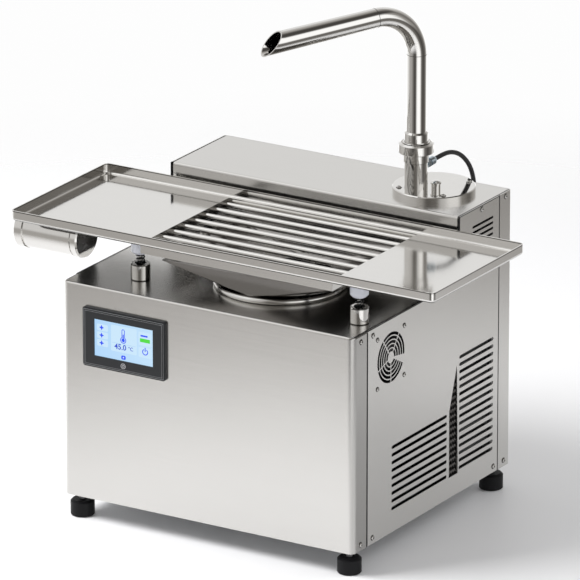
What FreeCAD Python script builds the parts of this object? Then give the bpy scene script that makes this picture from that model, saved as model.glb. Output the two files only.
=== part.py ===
"""Table-top chocolate tempering machine with a vibrating table.

All sizes are in millimetres.  The machine is described in its own frame: X runs from
left to right with 0 at the middle of the cabinet, Y runs back from the front panel and
Z up from the floor.  Every sub-part is then placed so that the model's origin lies at
the bottom centre of the whole machine.
"""
import FreeCAD, Part
import math
import os
import re
import Sketcher
from FreeCAD import Placement, Rotation, Vector

SIZES = {
    "cabinet": {
        "body_width": 470.0,          # across the side panels
        "body_depth": 428.0,          # front panel to rear panel
        "foot_height": 34.0,          # floor to the underside of the cabinet
        "body_height": 314.0,         # underside of the cabinet to the top of the deck
        "tower_rise": 93.0,           # top of the rear tower above the deck
        "tower_depth": 144.0,         # rear tower, front to back
        "sheet_gauge": 1.5,           # stainless sheet
        "corner_bend": 9.5,           # outside radius of the front's upright corners
        "rear_bend": 4.0,             # outside radius of the rear's upright corners
        "deck_bend": 3.0,             # front panel to deck
        "tower_bend": 4.0,            # tower face to tower top
        "seam_gap": 2.0,              # open seams between the panels
        "front_return": 35.5,         # front panel wrapped onto the sides
        "rear_return": 32.0,          # rear panel wrapped onto the sides
        "base_gauge": 2.0,            # bottom plate
        "fit_gap": 0.3,               # clearance between pieces that only meet
    },
    "corner posts": {
        "front_post_depth": 46.0,
        "rear_post_depth": 38.0,
        "post_width": 20.0,
        "post_wall": 2.0,
        "post_inset": 12.0,           # front or rear face to the post
    },
    "panel screws": {
        "screw_head": 6.4,
        "screw_head_rise": 2.2,
        "screw_shank": 4.0,
        "screw_reach": 9.0,
        "screw_hole": 4.4,
        "strip_screw_inset": 20.4,    # front strip screws behind the front panel
        "panel_screw_inset": 52.0,    # side panel's front screws
        "rear_screw_inset": 44.8,     # side panel's rear screws, from the rear
        "rear_strip_inset": 16.0,     # rear strip screws, from the rear
        "low_screw_rise": 9.0,        # above the cabinet's underside
        "deck_screw_drop": 10.6,      # below the deck
        "tower_screw_drop": 6.0,      # below the tower's top
        "tower_screw_inset": 62.0,    # side panel's top screw behind the tower's face
    },
    "vents": {
        "vent_height": 5.0,
        "low_vent_inset": 103.0,      # behind the front panel
        "low_vent_length": 150.0,
        "low_vent_rise": 35.0,        # lowest slot above the cabinet's underside
        "low_vent_pitch": 11.2,
        "low_vent_count": 9,
        "rear_vent_inset": 47.0,      # in front of the rear panel
        "rear_vent_length": 94.5,
        "rear_vent_rise": 37.2,
        "rear_vent_pitch": 10.9,
        "rear_vent_count": 16,
        "tower_vent_inset": 50.5,
        "tower_vent_length": 57.5,
        "tower_vent_height": 3.6,
        "tower_vent_drop": 26.2,      # highest slot below the tower's top
        "tower_vent_pitch": 8.0,
        "tower_vent_count": 6,
        "mesh_inset": 2.5,            # upright window covered by mesh, in front of the rear vents
        "mesh_width": 24.5,
        "mesh_peak": 4.0,             # tip of the window in front of its rear edge
        "mesh_rise": 30.5,
        "mesh_shoulder": 98.0,        # straight part of the window's front edge
        "mesh_height": 161.0,
        "mesh_gauge": 0.8,
        "mesh_border": 5.0,
    },
    "fan": {
        "fan_inset": 100.0,           # fan axis behind the front panel
        "fan_drop": 56.5,             # fan axis below the deck
        "fan_frame_size": 80.0,
        "fan_frame_depth": 25.0,
        "fan_screw_pitch": 71.5,
        "fan_bore": 38.0,
        "grille_hub": 8.3,
        "grille_pitch": 5.9,
        "grille_web": 1.6,
        "grille_rings": 5,
        "spoke_width": 1.9,
        "wide_spoke_angle": 20.0,
        "fan_hub": 15.5,
        "fan_tip": 36.5,
        "fan_blades": 7,
        "fan_blade_pitch": 38.0,      # blade angle in degrees
        "fan_rotor_depth": 18.0,
        "fan_pin": 2.0,               # shaft fixed in the frame
        "strut_width": 4.0,
        "strut_depth": 2.5,
    },
    "feet": {
        "foot_radius": 17.0,
        "foot_rubber": 23.5,          # height of the rubber
        "foot_inset_x": 17.5,
        "foot_inset_y": 20.0,
        "foot_chamfer": 3.0,
        "foot_recess": 8.5,
        "foot_recess_depth": 9.0,
        "foot_bolt": 3.0,
        "foot_nut": 6.0,
    },
    "touch panel": {
        "panel_inset": 103.0,         # panel's middle from the cabinet's left side
        "panel_drop": 73.0,           # panel's middle below the deck
        "bezel_width": 135.0,
        "bezel_height": 86.5,
        "bezel_proud": 5.5,
        "bezel_corner": 4.0,
        "bezel_step": 4.5,
        "bezel_step_drop": 1.6,
        "display_width": 96.0,
        "display_height": 54.0,
        "display_gauge": 1.2,
        "display_drop": 1.6,          # glass below the bezel's face
        "display_rise": 1.5,          # display centre above the bezel's centre
        "module_width": 122.0,
        "module_height": 74.0,
        "module_depth": 28.0,
    },
    "tank": {
        "tank_x": 31.0,
        "tank_y": 145.0,
        "tank_radius": 86.0,          # inside
        "tank_depth": 179.0,          # deck to the inside of the bowl's floor
        "tank_fillet": 20.0,
        "rim_bead": 4.0,              # radius of the rolled rim
        "jacket_drop": 26.0,          # top of the jacket below the deck
        "jacket_height": 92.0,
        "jacket_thickness": 9.0,
        "jacket_chamfer": 3.0,
        "seal_radius": 14.0,
        "seal_height": 6.9,
        "funnel_drop": 20.5,          # mouth below the table's underside
        "funnel_lift": 9.0,           # throat above the deck
        "funnel_margin_front": 17.5,  # grate's edge to the mouth
        "funnel_margin_back": 7.0,
        "funnel_margin_side": 1.0,
        "funnel_collar": 14.0,
        "funnel_gauge": 1.2,
        "funnel_corner": 5.0,
    },
    "drives": {
        "shaft_radius": 6.0,
        "motor_can_radius": 34.0,
        "motor_can_height": 58.0,
        "gearbox_size": 70.0,
        "gearbox_height": 46.0,
        "gearbox_corner": 6.0,
        "gearbox_boss": 3.0,
        "coupling_radius": 13.0,
        "arm_rise": 8.0,              # top of the agitator's cross arm above the deck
        "arm_gap": 4.0,               # arm's end to the bowl's wall
        "arm_width": 12.0,
        "arm_thickness": 5.0,
        "arm_cap": 5.0,
        "scraper_width": 20.0,
        "scraper_thickness": 5.0,
        "scraper_gap": 1.5,
        "scraper_neck": 14.0,
    },
    "pump": {
        "pump_inset": 88.0,           # pump's axis from the cabinet's right side
        "pump_setback": 63.5,         # pump's axis from the rear panel
        "barrel_radius": 30.0,
        "barrel_wall": 2.5,
        "barrel_floor": 6.0,
        "barrel_clearance": 15.0,     # gearbox to the barrel
        "auger_core": 8.0,
        "auger_clearance": 0.6,
        "auger_pitch": 42.0,
        "auger_flight": 3.0,
        "pump_head_radius": 49.0,
        "pump_head_height": 30.0,
        "pump_head_duct": 8.0,
        "duct_radius": 12.0,
        "duct_wall": 1.5,
        "duct_rise": 40.0,            # duct's axis above the bowl's floor
        "disc_radius": 58.5,
        "disc_thickness": 9.0,
        "disc_chamfer": 1.2,
        "disc_screw_circle": 50.5,
        "disc_screw_head": 3.4,
        "disc_screw_rise": 2.4,
        "plug_offset_x": 11.5,        # bleed plug from the pump's axis
        "plug_offset_y": -15.0,
        "plug_radius": 7.6,
        "plug_neck": 6.5,
        "plug_rise": 13.0,
    },
    "spout": {
        "riser_offset_x": -5.3,       # riser axis from the pump's axis
        "riser_offset_y": -40.5,
        "riser_radius": 16.2,
        "riser_rise": 53.5,           # top of the riser's plain part above the tower
        "ferrule_radius": 17.6,
        "nut_rise": 67.5,             # underside of the union nut above the tower
        "nut_height": 15.0,
        "nut_radius": 24.6,
        "nut_chamfer": 1.0,
        "nut_shoulder": 3.6,
        "nut_groove": 1.6,
        "nut_lip": 1.2,
        "upper_ferrule_radius": 16.6,
        "upper_ferrule_rise": 96.0,
        "spout_radius": 14.0,
        "spout_wall": 1.5,
        "bend_rise": 210.0,           # start of the elbow above the tower
        "bend_radius": 62.0,
        "bend_angle": 94.0,
        "outlet_length": 180.0,
        "outlet_flare": 1.4,          # growth of the outlet's radius towards its mouth
        "outlet_cut": 45.0,
        "outlet_heading": 241.0,      # degrees from +X, seen from above
    },
    "table": {
        "table_width": 682.0,
        "table_offset": 2.0,          # table centre right of the cabinet's centre
        "table_front": 29.0,
        "table_depth": 248.0,
        "table_rise": 76.0,           # top of the rim above the deck
        "table_rim": 15.5,
        "table_gauge": 1.5,
        "table_corner": 7.0,
        "table_bend": 4.5,            # outside radius from the floor to the rim
        "left_tray": 209.0,           # table's left edge to the grate
        "right_tray": 167.0,          # grate to the table's right edge
        "grate_margin_front": 12.0,
        "grate_margin_back": 8.0,
        "grate_skirt": 14.0,
        "rod_radius": 4.0,
        "rod_drop": 4.0,              # rod tops below the table's floor
        "rod_margin_front": 25.0,
        "rod_margin_back": 7.0,
        "rod_count": 8,
    },
    "table supports": {
        "support_margin_left": 16.5,  # grate's edge to the supports
        "support_margin_right": 30.5,
        "support_inset": 34.0,        # table's front or back edge to the supports
        "cup_radius": 13.6,
        "cup_height": 23.5,
        "cup_bore": 8.0,
        "cup_floor": 6.0,
        "spring_radius": 5.4,
        "spring_wire": 1.1,
        "spring_turns": 6,
        "bushing_height": 23.0,
        "bushing_radius": 13.0,
        "bushing_chamfer": 3.5,
        "stud_radius": 3.0,
        "stud_clearance": 6.0,        # stud's foot above the cup's floor
    },
    "vibrator": {
        "vibrator_overhang": 22.0,    # left of the table's left edge
        "vibrator_inset": 68.0,       # axis behind the table's front edge
        "vibrator_length": 105.0,
        "vibrator_radius": 28.8,
        "vibrator_wall": 4.0,
        "left_cap_length": 16.0,
        "right_cap_length": 12.5,
        "cap_floor": 6.0,
        "cap_bearing": 3.0,
        "cap_lip": 0.8,
        "cap_groove": 2.4,
        "cap_groove_depth": 2.0,
        "vibrator_seat": 1.2,         # shoe thickness at its thinnest
        "vibrator_shaft": 6.0,
        "rotor_radius": 15.0,
        "rotor_inset": 32.0,
        "weight_radius": 20.0,
        "weight_thickness": 7.0,
        "weight_inset": 20.0,
        "weight_hub": 4.0,
        "shoe_length": 50.0,
        "shoe_width": 36.0,
    },
    "heater lead": {
        "lead_radius": 3.3,
        "gland_radius": 6.0,
        "gland_length": 23.0,
        "gland_rise": 41.0,           # above the tower
        "gland_heading": 76.0,        # degrees from +X
        "gland_tilt": 12.0,           # degrees above the level
        "lead_first_run": 16.5,       # straight out of the gland
        "lead_last_run": 20.0,        # straight into the rear gland
        "rear_gland_offset": 19.0,    # right of the pump's axis
        "rear_gland_drop": 45.0,      # below the tower's top
        "rear_gland_radius": 9.0,
        "rear_gland_reach": 24.0,
    },
    "services": {
        "inlet_inset": 85.0,          # from the cabinet's left side
        "inlet_rise": 66.0,
        "inlet_width": 28.0,
        "inlet_tall": 48.0,
        "inlet_flange": 6.0,
        "inlet_depth": 22.0,
        "inlet_lip": 2.5,
        "compressor_inset": 113.0,
        "compressor_setback": 98.0,
        "compressor_radius": 60.0,
        "compressor_height": 150.0,
        "condenser_setback": 140.0,
        "condenser_length": 88.0,
        "condenser_thickness": 34.0,
        "condenser_height": 206.0,
        "condenser_border": 6.0,
        "condenser_fins": 12,
        "control_box_inset": 78.0,
        "control_box_length": 160.0,
        "control_box_depth": 58.0,
        "control_box_rise": 34.0,
        "control_box_height": 180.0,
    },
}

# heights and places that follow from the sizes above
DERIVED = {
    "deck_height": "foot_height + body_height",
    "tower_height": "deck_height + tower_rise",
    "tower_front": "body_depth - tower_depth",
    "low_screw_height": "foot_height + low_screw_rise",
    "low_vent_start": "low_vent_inset",
    "low_vent_end": "low_vent_inset + low_vent_length",
    "low_vent_base": "foot_height + low_vent_rise",
    "rear_vent_end": "body_depth - rear_vent_inset",
    "rear_vent_start": "rear_vent_end - rear_vent_length",
    "rear_vent_base": "foot_height + rear_vent_rise",
    "tower_vent_end": "body_depth - tower_vent_inset",
    "tower_vent_start": "tower_vent_end - tower_vent_length",
    "tower_vent_top": "tower_height - tower_vent_drop",
    "mesh_back": "rear_vent_start - mesh_inset",
    "mesh_front": "mesh_back - mesh_width",
    "mesh_apex": "mesh_back - mesh_peak",
    "mesh_base": "foot_height + mesh_rise",
    "mesh_bend": "mesh_base + mesh_shoulder",
    "mesh_top": "mesh_base + mesh_height",
    "fan_axis_height": "deck_height - fan_drop",
    "panel_centre_x": "panel_inset - body_width / 2",
    "panel_centre_height": "deck_height - panel_drop",
    "tank_floor": "deck_height - tank_depth",
    "jacket_top": "deck_height - jacket_drop",
    "jacket_base": "jacket_top - jacket_height",
    "table_top": "deck_height + table_rise",
    "table_floor": "table_top - table_rim",
    "table_back": "table_front + table_depth",
    "table_left": "table_offset - table_width / 2",
    "table_right": "table_offset + table_width / 2",
    "grate_left": "table_left + left_tray",
    "grate_right": "table_right - right_tray",
    "grate_front": "table_front + grate_margin_front",
    "grate_back": "table_back - grate_margin_back",
    "rod_first": "grate_front + rod_margin_front",
    "rod_pitch": "(grate_back - rod_margin_back - rod_first) / (rod_count - 1)",
    "rod_height": "table_floor + table_gauge - rod_drop - rod_radius",
    "funnel_left": "grate_left - funnel_margin_side",
    "funnel_right": "grate_right - 5 * funnel_margin_side",
    "funnel_front": "grate_front + funnel_margin_front",
    "funnel_back": "grate_back - funnel_margin_back",
    "funnel_top": "table_floor - funnel_drop",
    "funnel_throat": "deck_height + funnel_lift",
    "gearbox_top": "foot_height + base_gauge + motor_can_height + gearbox_height + gearbox_boss",
    "arm_height": "deck_height + arm_rise",
    "arm_span": "2 * (tank_radius - arm_gap)",
    "pump_x": "body_width / 2 - pump_inset",
    "pump_y": "body_depth - pump_setback",
    "barrel_base": "gearbox_top + barrel_clearance",
    "barrel_top": "tower_height - pump_head_height - sheet_gauge",
    "duct_height": "tank_floor + duct_rise",
    "riser_x": "pump_x + riser_offset_x",
    "riser_y": "pump_y + riser_offset_y",
    "riser_top": "tower_height + riser_rise",
    "nut_base": "tower_height + nut_rise",
    "upper_ferrule_top": "tower_height + upper_ferrule_rise",
    "bend_start": "tower_height + bend_rise",
    "support_left": "grate_left - support_margin_left",
    "support_right": "grate_right + support_margin_right",
    "support_front": "table_front + support_inset",
    "support_back": "table_back - support_inset",
    "bushing_base": "table_floor - bushing_height",
    "stud_foot": "deck_height + cup_floor + stud_clearance",
    "vibrator_left": "table_left - vibrator_overhang",
    "vibrator_y": "table_front + vibrator_inset",
    "vibrator_z": "table_floor - vibrator_seat - vibrator_radius",
    "gland_height": "tower_height + gland_rise",
    "rear_gland_x": "pump_x + rear_gland_offset",
    "rear_gland_height": "tower_height - rear_gland_drop",
    "inlet_x": "inlet_inset - body_width / 2",
    "inlet_height": "foot_height + inlet_rise",
    "compressor_x": "compressor_inset - body_width / 2",
    "compressor_y": "body_depth - compressor_setback",
    "condenser_front": "body_depth - condenser_setback",
    "control_box_base": "foot_height + control_box_rise",
}

doc = FreeCAD.newDocument("tempering_machine")
sheet = doc.addObject("Spreadsheet::Sheet", "dims")
ALIASES = set(DERIVED).union(*SIZES.values())
FINISHED = []


def fill_sheet():
    """Write every size into the sheet: the driving ones by group, then the derived ones."""
    row = 1
    for group, sizes in list(SIZES.items()) + [("derived", DERIVED)]:
        sheet.set(f"A{row}", group)
        row += 1
        for alias, content in sizes.items():
            sheet.set(f"A{row}", alias)
            sheet.set(f"B{row}", f"={content}" if group == "derived" else str(content))
            sheet.setAlias(f"B{row}", alias)
            row += 1
    doc.recompute()


def formula(text):
    """Point each size's name in a formula at its cell."""
    return re.sub(r"[a-z][a-z_]+", lambda m: "dims." + m[0] if m[0] in ALIASES else m[0], str(text))


def size(text):
    """Work a formula out to a number."""
    return float(gauge.evalExpression(formula(text)))


def bind(piece, prop, text):
    piece.setExpression(prop, formula(text))


fill_sheet()
gauge = doc.addObject("App::FeaturePython", "gauge")

# the machine's frame seen from the model's origin
SHIFT_X = "-(table_offset - vibrator_overhang / 2)"
SHIFT_Y = "-(body_depth + rear_gland_reach - bezel_proud) / 2"


def place(piece, x="0", y="0", z="0", turn=None):
    """Finish a sub-part: put its own origin at a point of the machine's frame."""
    if turn:
        piece.Placement = Placement(Vector(), turn)
    bind(piece, "Placement.Base.x", f"({x}) + {SHIFT_X}")
    bind(piece, "Placement.Base.y", f"({y}) + {SHIFT_Y}")
    bind(piece, "Placement.Base.z", z)
    FINISHED.append(piece)
    return piece


# --- sketches and features ---------------------------------------------------------


def new_body(label):
    body = doc.addObject("PartDesign::Body", label)
    body.Label = label
    return body


def sketch_on(body, plane, lift="0"):
    """A sketch on one of the body's own planes, moved along the plane's normal."""
    sketch = body.newObject("Sketcher::SketchObject", body.Name + "_sketch")
    face = [f for f in body.Origin.OriginFeatures if f.Role == plane][0]
    sketch.AttachmentSupport = [(face, "")]
    sketch.MapMode = "FlatFace"
    bind(sketch, "AttachmentOffset.Base.z", lift)
    return sketch


def pin_point(sketch, item, end, x, y):
    """Hold one point of the sketch at two formulas."""
    for kind, text in (("DistanceX", x), ("DistanceY", y)):
        held = sketch.addConstraint(Sketcher.Constraint(kind, -1, 1, item, end, size(text)))
        bind(sketch, f"Constraints[{held}]", text)


def outline(sketch, corners):
    """A closed run of straight lines through the corners."""
    first = sketch.GeometryCount
    count = len(corners)
    points = [Vector(size(x), size(y), 0) for x, y in corners]
    for i in range(count):
        sketch.addGeometry(Part.LineSegment(points[i], points[(i + 1) % count]))
    for i in range(count):
        sketch.addConstraint(Sketcher.Constraint("Coincident", first + i, 2, first + (i + 1) % count, 1))
    for i, (x, y) in enumerate(corners):
        pin_point(sketch, first + i, 1, x, y)
    return sketch


def rectangle(sketch, left, right, low, high):
    return outline(sketch, [(left, low), (right, low), (right, high), (left, high)])


def circle(sketch, x, y, radius):
    item = sketch.addGeometry(Part.Circle(Vector(size(x), size(y), 0), Vector(0, 0, 1), size(radius)))
    pin_point(sketch, item, 3, x, y)
    held = sketch.addConstraint(Sketcher.Constraint("Radius", item, size(radius)))
    bind(sketch, f"Constraints[{held}]", radius)
    return sketch


def slot(sketch, left, right, y, height):
    """A level slot with round ends."""
    r = size(height) / 2
    x0, x1, yc = size(left) + r, size(right) - r, size(y)
    quarter = math.pi / 2
    arc = lambda x, a0, a1: Part.ArcOfCircle(Part.Circle(Vector(x, yc, 0), Vector(0, 0, 1), r), a0, a1)
    near = sketch.addGeometry(arc(x0, quarter, 3 * quarter))
    far = sketch.addGeometry(arc(x1, -quarter, quarter))
    low = sketch.addGeometry(Part.LineSegment(Vector(x0, yc - r, 0), Vector(x1, yc - r, 0)))
    top = sketch.addGeometry(Part.LineSegment(Vector(x1, yc + r, 0), Vector(x0, yc + r, 0)))
    for a, a_end, b, b_end in ((near, 2, low, 1), (low, 2, far, 1), (far, 2, top, 1), (top, 2, near, 1)):
        sketch.addConstraint(Sketcher.Constraint("Tangent", a, a_end, b, b_end))
    pin_point(sketch, near, 3, f"{left} + {height} / 2", y)
    held = sketch.addConstraint(Sketcher.Constraint("DistanceX", -1, 1, far, 3, x1))
    bind(sketch, f"Constraints[{held}]", f"{right} - {height} / 2")
    held = sketch.addConstraint(Sketcher.Constraint("Radius", near, r))
    bind(sketch, f"Constraints[{held}]", f"{height} / 2")
    return sketch


def pad(body, sketch, length, reverse=False):
    feature = body.newObject("PartDesign::Pad", body.Name + "_pad")
    feature.Profile = sketch
    feature.Reversed = reverse
    bind(feature, "Length", length)
    return feature


def pocket(body, sketch, length, reverse=False):
    feature = body.newObject("PartDesign::Pocket", body.Name + "_pocket")
    feature.Profile = sketch
    feature.Reversed = reverse
    bind(feature, "Length", length)
    return feature


def cut_through(body, sketch):
    feature = body.newObject("PartDesign::Pocket", body.Name + "_opening")
    feature.Profile = sketch
    feature.Type = "ThroughAll"
    feature.SideType = "Symmetric"
    return feature


def repeat(body, feature, sketch, axis, pitch, count):
    """Copy a feature along one of its sketch's axes."""
    pattern = body.newObject("PartDesign::LinearPattern", body.Name + "_row")
    pattern.Originals = [feature]
    pattern.Direction = (sketch, [axis])
    pattern.Mode = "Spacing"
    bind(pattern, "Offset", pitch)
    bind(pattern, "Occurrences", count)
    body.Tip = pattern
    return pattern


def round_edges(body, base, radius, wanted, kind="Fillet"):
    """Fillet or chamfer the edges of a feature that pass a test on their middle and direction."""
    doc.recompute()
    names = []
    for number, edge in enumerate(base.Shape.Edges, 1):
        middle = edge.valueAt((edge.FirstParameter + edge.LastParameter) / 2)
        run = edge.valueAt(edge.LastParameter) - edge.valueAt(edge.FirstParameter)
        if wanted(middle, run):
            names.append(f"Edge{number}")
    feature = body.newObject("PartDesign::" + kind, body.Name + "_" + kind.lower())
    feature.Base = (base, names)
    bind(feature, "Radius" if kind == "Fillet" else "Size", radius)
    return feature


def upright(middle, run):
    return abs(run.x) < 1e-4 and abs(run.y) < 1e-4


def revolved(label, *profiles):
    """A turned piece: profiles of (radius, height) corners, spun about the body's own Z."""
    body = new_body(label)
    for profile in profiles:
        sketch = outline(sketch_on(body, "XZ_Plane"), profile)
        feature = body.newObject("PartDesign::Revolution", body.Name + "_turned")
        feature.Profile = sketch
        feature.ReferenceAxis = (sketch, ["V_Axis"])
    return body


def loose(label, shape):
    """A sub-part whose shape is worked out with Part's own functions."""
    piece = doc.addObject("Part::Feature", label)
    piece.Label = label
    piece.Shape = shape
    return piece


def block(x0, x1, y0, y1, z0, z1):
    return Part.makeBox(x1 - x0, y1 - y0, z1 - z0, Vector(x0, y0, z0))


def rod(radius, length, start, axis=Vector(0, 0, 1)):
    return Part.makeCylinder(radius, length, start, axis)


# --- cabinet -----------------------------------------------------------------------

FRONT_SEAM = "front_return + seam_gap"
REAR_SEAM = "body_depth - rear_return - seam_gap"
PANEL_FLOOR = "foot_height + fit_gap"


def front_shell():
    """Front panel, its returns on both sides and the deck, folded from one sheet."""
    body = new_body("front_shell")
    plan = rectangle(sketch_on(body, "XY_Plane", "foot_height"),
                     "-body_width / 2", "body_width / 2", "0", "front_return")
    pad(body, plan, "deck_height - foot_height")
    inside = rectangle(sketch_on(body, "XY_Plane", "foot_height"),
                       "-body_width / 2 + sheet_gauge", "body_width / 2 - sheet_gauge",
                       "sheet_gauge", "front_return + 1")
    hollow = pocket(body, inside, "deck_height - foot_height - sheet_gauge", reverse=True)
    wall, top = size("sheet_gauge"), size("deck_height")
    inner = round_edges(body, hollow, "corner_bend - sheet_gauge",
                        lambda m, run: upright(m, run) and abs(m.y - wall) < 0.01)
    corners = round_edges(body, inner, "corner_bend", lambda m, run: upright(m, run) and abs(m.y) < 0.01)
    round_edges(body, corners, "deck_bend",
                lambda m, run: abs(m.z - top) < 0.01 and m.y < 0.01 and abs(run.x) > 50)
    deck = rectangle(sketch_on(body, "XY_Plane", "deck_height - sheet_gauge"),
                     "-body_width / 2 + sheet_gauge + seam_gap", "body_width / 2 - sheet_gauge - seam_gap",
                     "front_return - 1", "tower_front - seam_gap")
    pad(body, deck, "sheet_gauge")
    for side in ("-1", "1"):
        seam_out = f"{side} * (body_width / 2 - sheet_gauge)"
        seam_in = f"{side} * (body_width / 2 - sheet_gauge - seam_gap)"
        seam = rectangle(sketch_on(body, "XY_Plane", "deck_height + 1"),
                         seam_in, seam_out, "corner_bend", "front_return + 1")
        pocket(body, seam, "sheet_gauge + 1")
    mouth = circle(sketch_on(body, "XY_Plane", "deck_height + 1"),
                   "tank_x", "tank_y", "tank_radius + sheet_gauge + fit_gap")
    pocket(body, mouth, "sheet_gauge + 2")
    window = rectangle(sketch_on(body, "XZ_Plane"),
                       "panel_centre_x - module_width / 2 - fit_gap",
                       "panel_centre_x + module_width / 2 + fit_gap",
                       "panel_centre_height - module_height / 2 - fit_gap",
                       "panel_centre_height + module_height / 2 + fit_gap")
    pocket(body, window, "sheet_gauge + 1", reverse=False)
    for x in ("-1", "1"):
        for z in (LOW_SCREWS, DECK_SCREWS):
            screw_hole(body, x, "strip_screw_inset", z)
    return place(body)


LOW_SCREWS = "low_screw_height"
DECK_SCREWS = "deck_height - deck_screw_drop"
TOWER_SCREWS = "tower_height - tower_screw_drop"
REAR_SCREWS = "body_depth - rear_screw_inset"
REAR_STRIP_SCREWS = "body_depth - rear_strip_inset"


def screw_hole(body, side, y, z):
    """A clearance hole through a panel that lies in a side of the cabinet."""
    sketch = circle(sketch_on(body, "YZ_Plane", f"{side} * (body_width / 2 + 1)"), y, z, "screw_hole / 2")
    pocket(body, sketch, "sheet_gauge + 2", reverse=(side == "-1"))


def tower_cover():
    """Face and top of the rear tower, bent from one sheet."""
    body = new_body("tower_cover")
    side = "body_width / 2 - sheet_gauge - seam_gap"
    plan = rectangle(sketch_on(body, "XY_Plane", "deck_height + fit_gap"),
                     f"-({side})", side, "tower_front", "body_depth - sheet_gauge - fit_gap")
    pad(body, plan, "tower_height - deck_height - fit_gap")
    inside = rectangle(sketch_on(body, "YZ_Plane", f"-({side}) - 1"),
                       "tower_front + sheet_gauge", "body_depth + 1",
                       "deck_height - 1", "tower_height - sheet_gauge")
    hollow = pocket(body, inside, "body_width + 2", reverse=True)
    wall_y, wall_z = size("tower_front + sheet_gauge"), size("tower_height - sheet_gauge")
    inner = round_edges(body, hollow, "tower_bend - sheet_gauge",
                        lambda m, run: abs(m.z - wall_z) < 0.01 and abs(m.y - wall_y) < 0.01)
    top, face = size("tower_height"), size("tower_front")
    round_edges(body, inner, "tower_bend", lambda m, run: abs(m.z - top) < 0.01 and abs(m.y - face) < 0.01)
    hole = circle(sketch_on(body, "XY_Plane", "tower_height + 1"),
                  "pump_x", "pump_y", "pump_head_radius + fit_gap")
    pocket(body, hole, "sheet_gauge + 2")
    return place(body)


def rear_panel():
    """Rear sheet with a return on each side."""
    body = new_body("rear_panel")
    plan = rectangle(sketch_on(body, "XY_Plane", "foot_height"),
                     "-body_width / 2", "body_width / 2", "body_depth - rear_return", "body_depth")
    pad(body, plan, "tower_height - foot_height")
    inside = rectangle(sketch_on(body, "XY_Plane", "foot_height - 1"),
                       "-body_width / 2 + sheet_gauge", "body_width / 2 - sheet_gauge",
                       "body_depth - rear_return - 1", "body_depth - sheet_gauge")
    hollow = pocket(body, inside, "tower_height + 2", reverse=True)
    wall, back = size("body_depth - sheet_gauge"), size("body_depth")
    inner = round_edges(body, hollow, "rear_bend - sheet_gauge",
                        lambda m, run: upright(m, run) and abs(m.y - wall) < 0.01)
    round_edges(body, inner, "rear_bend", lambda m, run: upright(m, run) and abs(m.y - back) < 0.01)
    inlet = rectangle(sketch_on(body, "XZ_Plane", "-body_depth - 1"),
                      "inlet_x - inlet_width / 2", "inlet_x + inlet_width / 2",
                      "inlet_height - inlet_tall / 2", "inlet_height + inlet_tall / 2")
    pocket(body, inlet, "sheet_gauge + 2", reverse=True)
    gland = circle(sketch_on(body, "XZ_Plane", "-body_depth - 1"),
                   "rear_gland_x", "rear_gland_height", "rear_gland_radius - 2")
    pocket(body, gland, "sheet_gauge + 2", reverse=True)
    for x in ("-1", "1"):
        for z in (LOW_SCREWS, TOWER_SCREWS):
            screw_hole(body, x, REAR_STRIP_SCREWS, z)
    return place(body)


def base_plate():
    body = new_body("base_plate")
    inner = "body_width / 2 - sheet_gauge - fit_gap"
    plan = rectangle(sketch_on(body, "XY_Plane", "foot_height"), f"-({inner})", inner,
                     "sheet_gauge + fit_gap", "body_depth - sheet_gauge - fit_gap")
    plate = pad(body, plan, "base_gauge")
    front = round_edges(body, plate, "corner_bend - sheet_gauge",
                        lambda m, run: upright(m, run) and m.y < 10)
    back = size("body_depth") - 10
    round_edges(body, front, "rear_bend - sheet_gauge", lambda m, run: upright(m, run) and m.y > back)
    for x, y in foot_places():
        hole = circle(sketch_on(body, "XY_Plane", "foot_height - 1"), x, y, "foot_bolt + fit_gap")
        pocket(body, hole, "base_gauge + 2", reverse=True)
    return place(body)


def vent_group(body, start, end, height, base, pitch, count):
    """A column of level slots punched through a side panel."""
    sketch = slot(sketch_on(body, "YZ_Plane"), start, end, base, height)
    first = cut_through(body, sketch)
    repeat(body, first, sketch, "V_Axis", pitch, count)


def side_panel_blank(label):
    """The L-shaped side sheet, low beside the deck and high beside the tower."""
    body = new_body(label)
    face = sketch_on(body, "YZ_Plane")
    outline(face, [(FRONT_SEAM, PANEL_FLOOR), (REAR_SEAM, PANEL_FLOOR), (REAR_SEAM, "tower_height"),
                   ("tower_front + seam_gap", "tower_height"), ("tower_front + seam_gap", "deck_height"),
                   (FRONT_SEAM, "deck_height")])
    pad(body, face, "sheet_gauge")
    holes = sketch_on(body, "YZ_Plane")
    for y, z in panel_screws_at():
        circle(holes, y, z, "screw_hole / 2")
    cut_through(body, holes)
    return body


def panel_screws_at():
    return [("panel_screw_inset", LOW_SCREWS), ("panel_screw_inset", DECK_SCREWS),
            (REAR_SCREWS, LOW_SCREWS), ("tower_front + tower_screw_inset", TOWER_SCREWS)]


def strip_screws_at():
    return [("strip_screw_inset", LOW_SCREWS), ("strip_screw_inset", DECK_SCREWS),
            (REAR_STRIP_SCREWS, LOW_SCREWS), (REAR_STRIP_SCREWS, TOWER_SCREWS)]


def left_side_panel():
    body = side_panel_blank("left_side_panel")
    vent_group(body, "rear_vent_start", "rear_vent_end", "vent_height",
               "rear_vent_base", "rear_vent_pitch", "rear_vent_count")
    return place(body, x="-body_width / 2")


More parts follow.
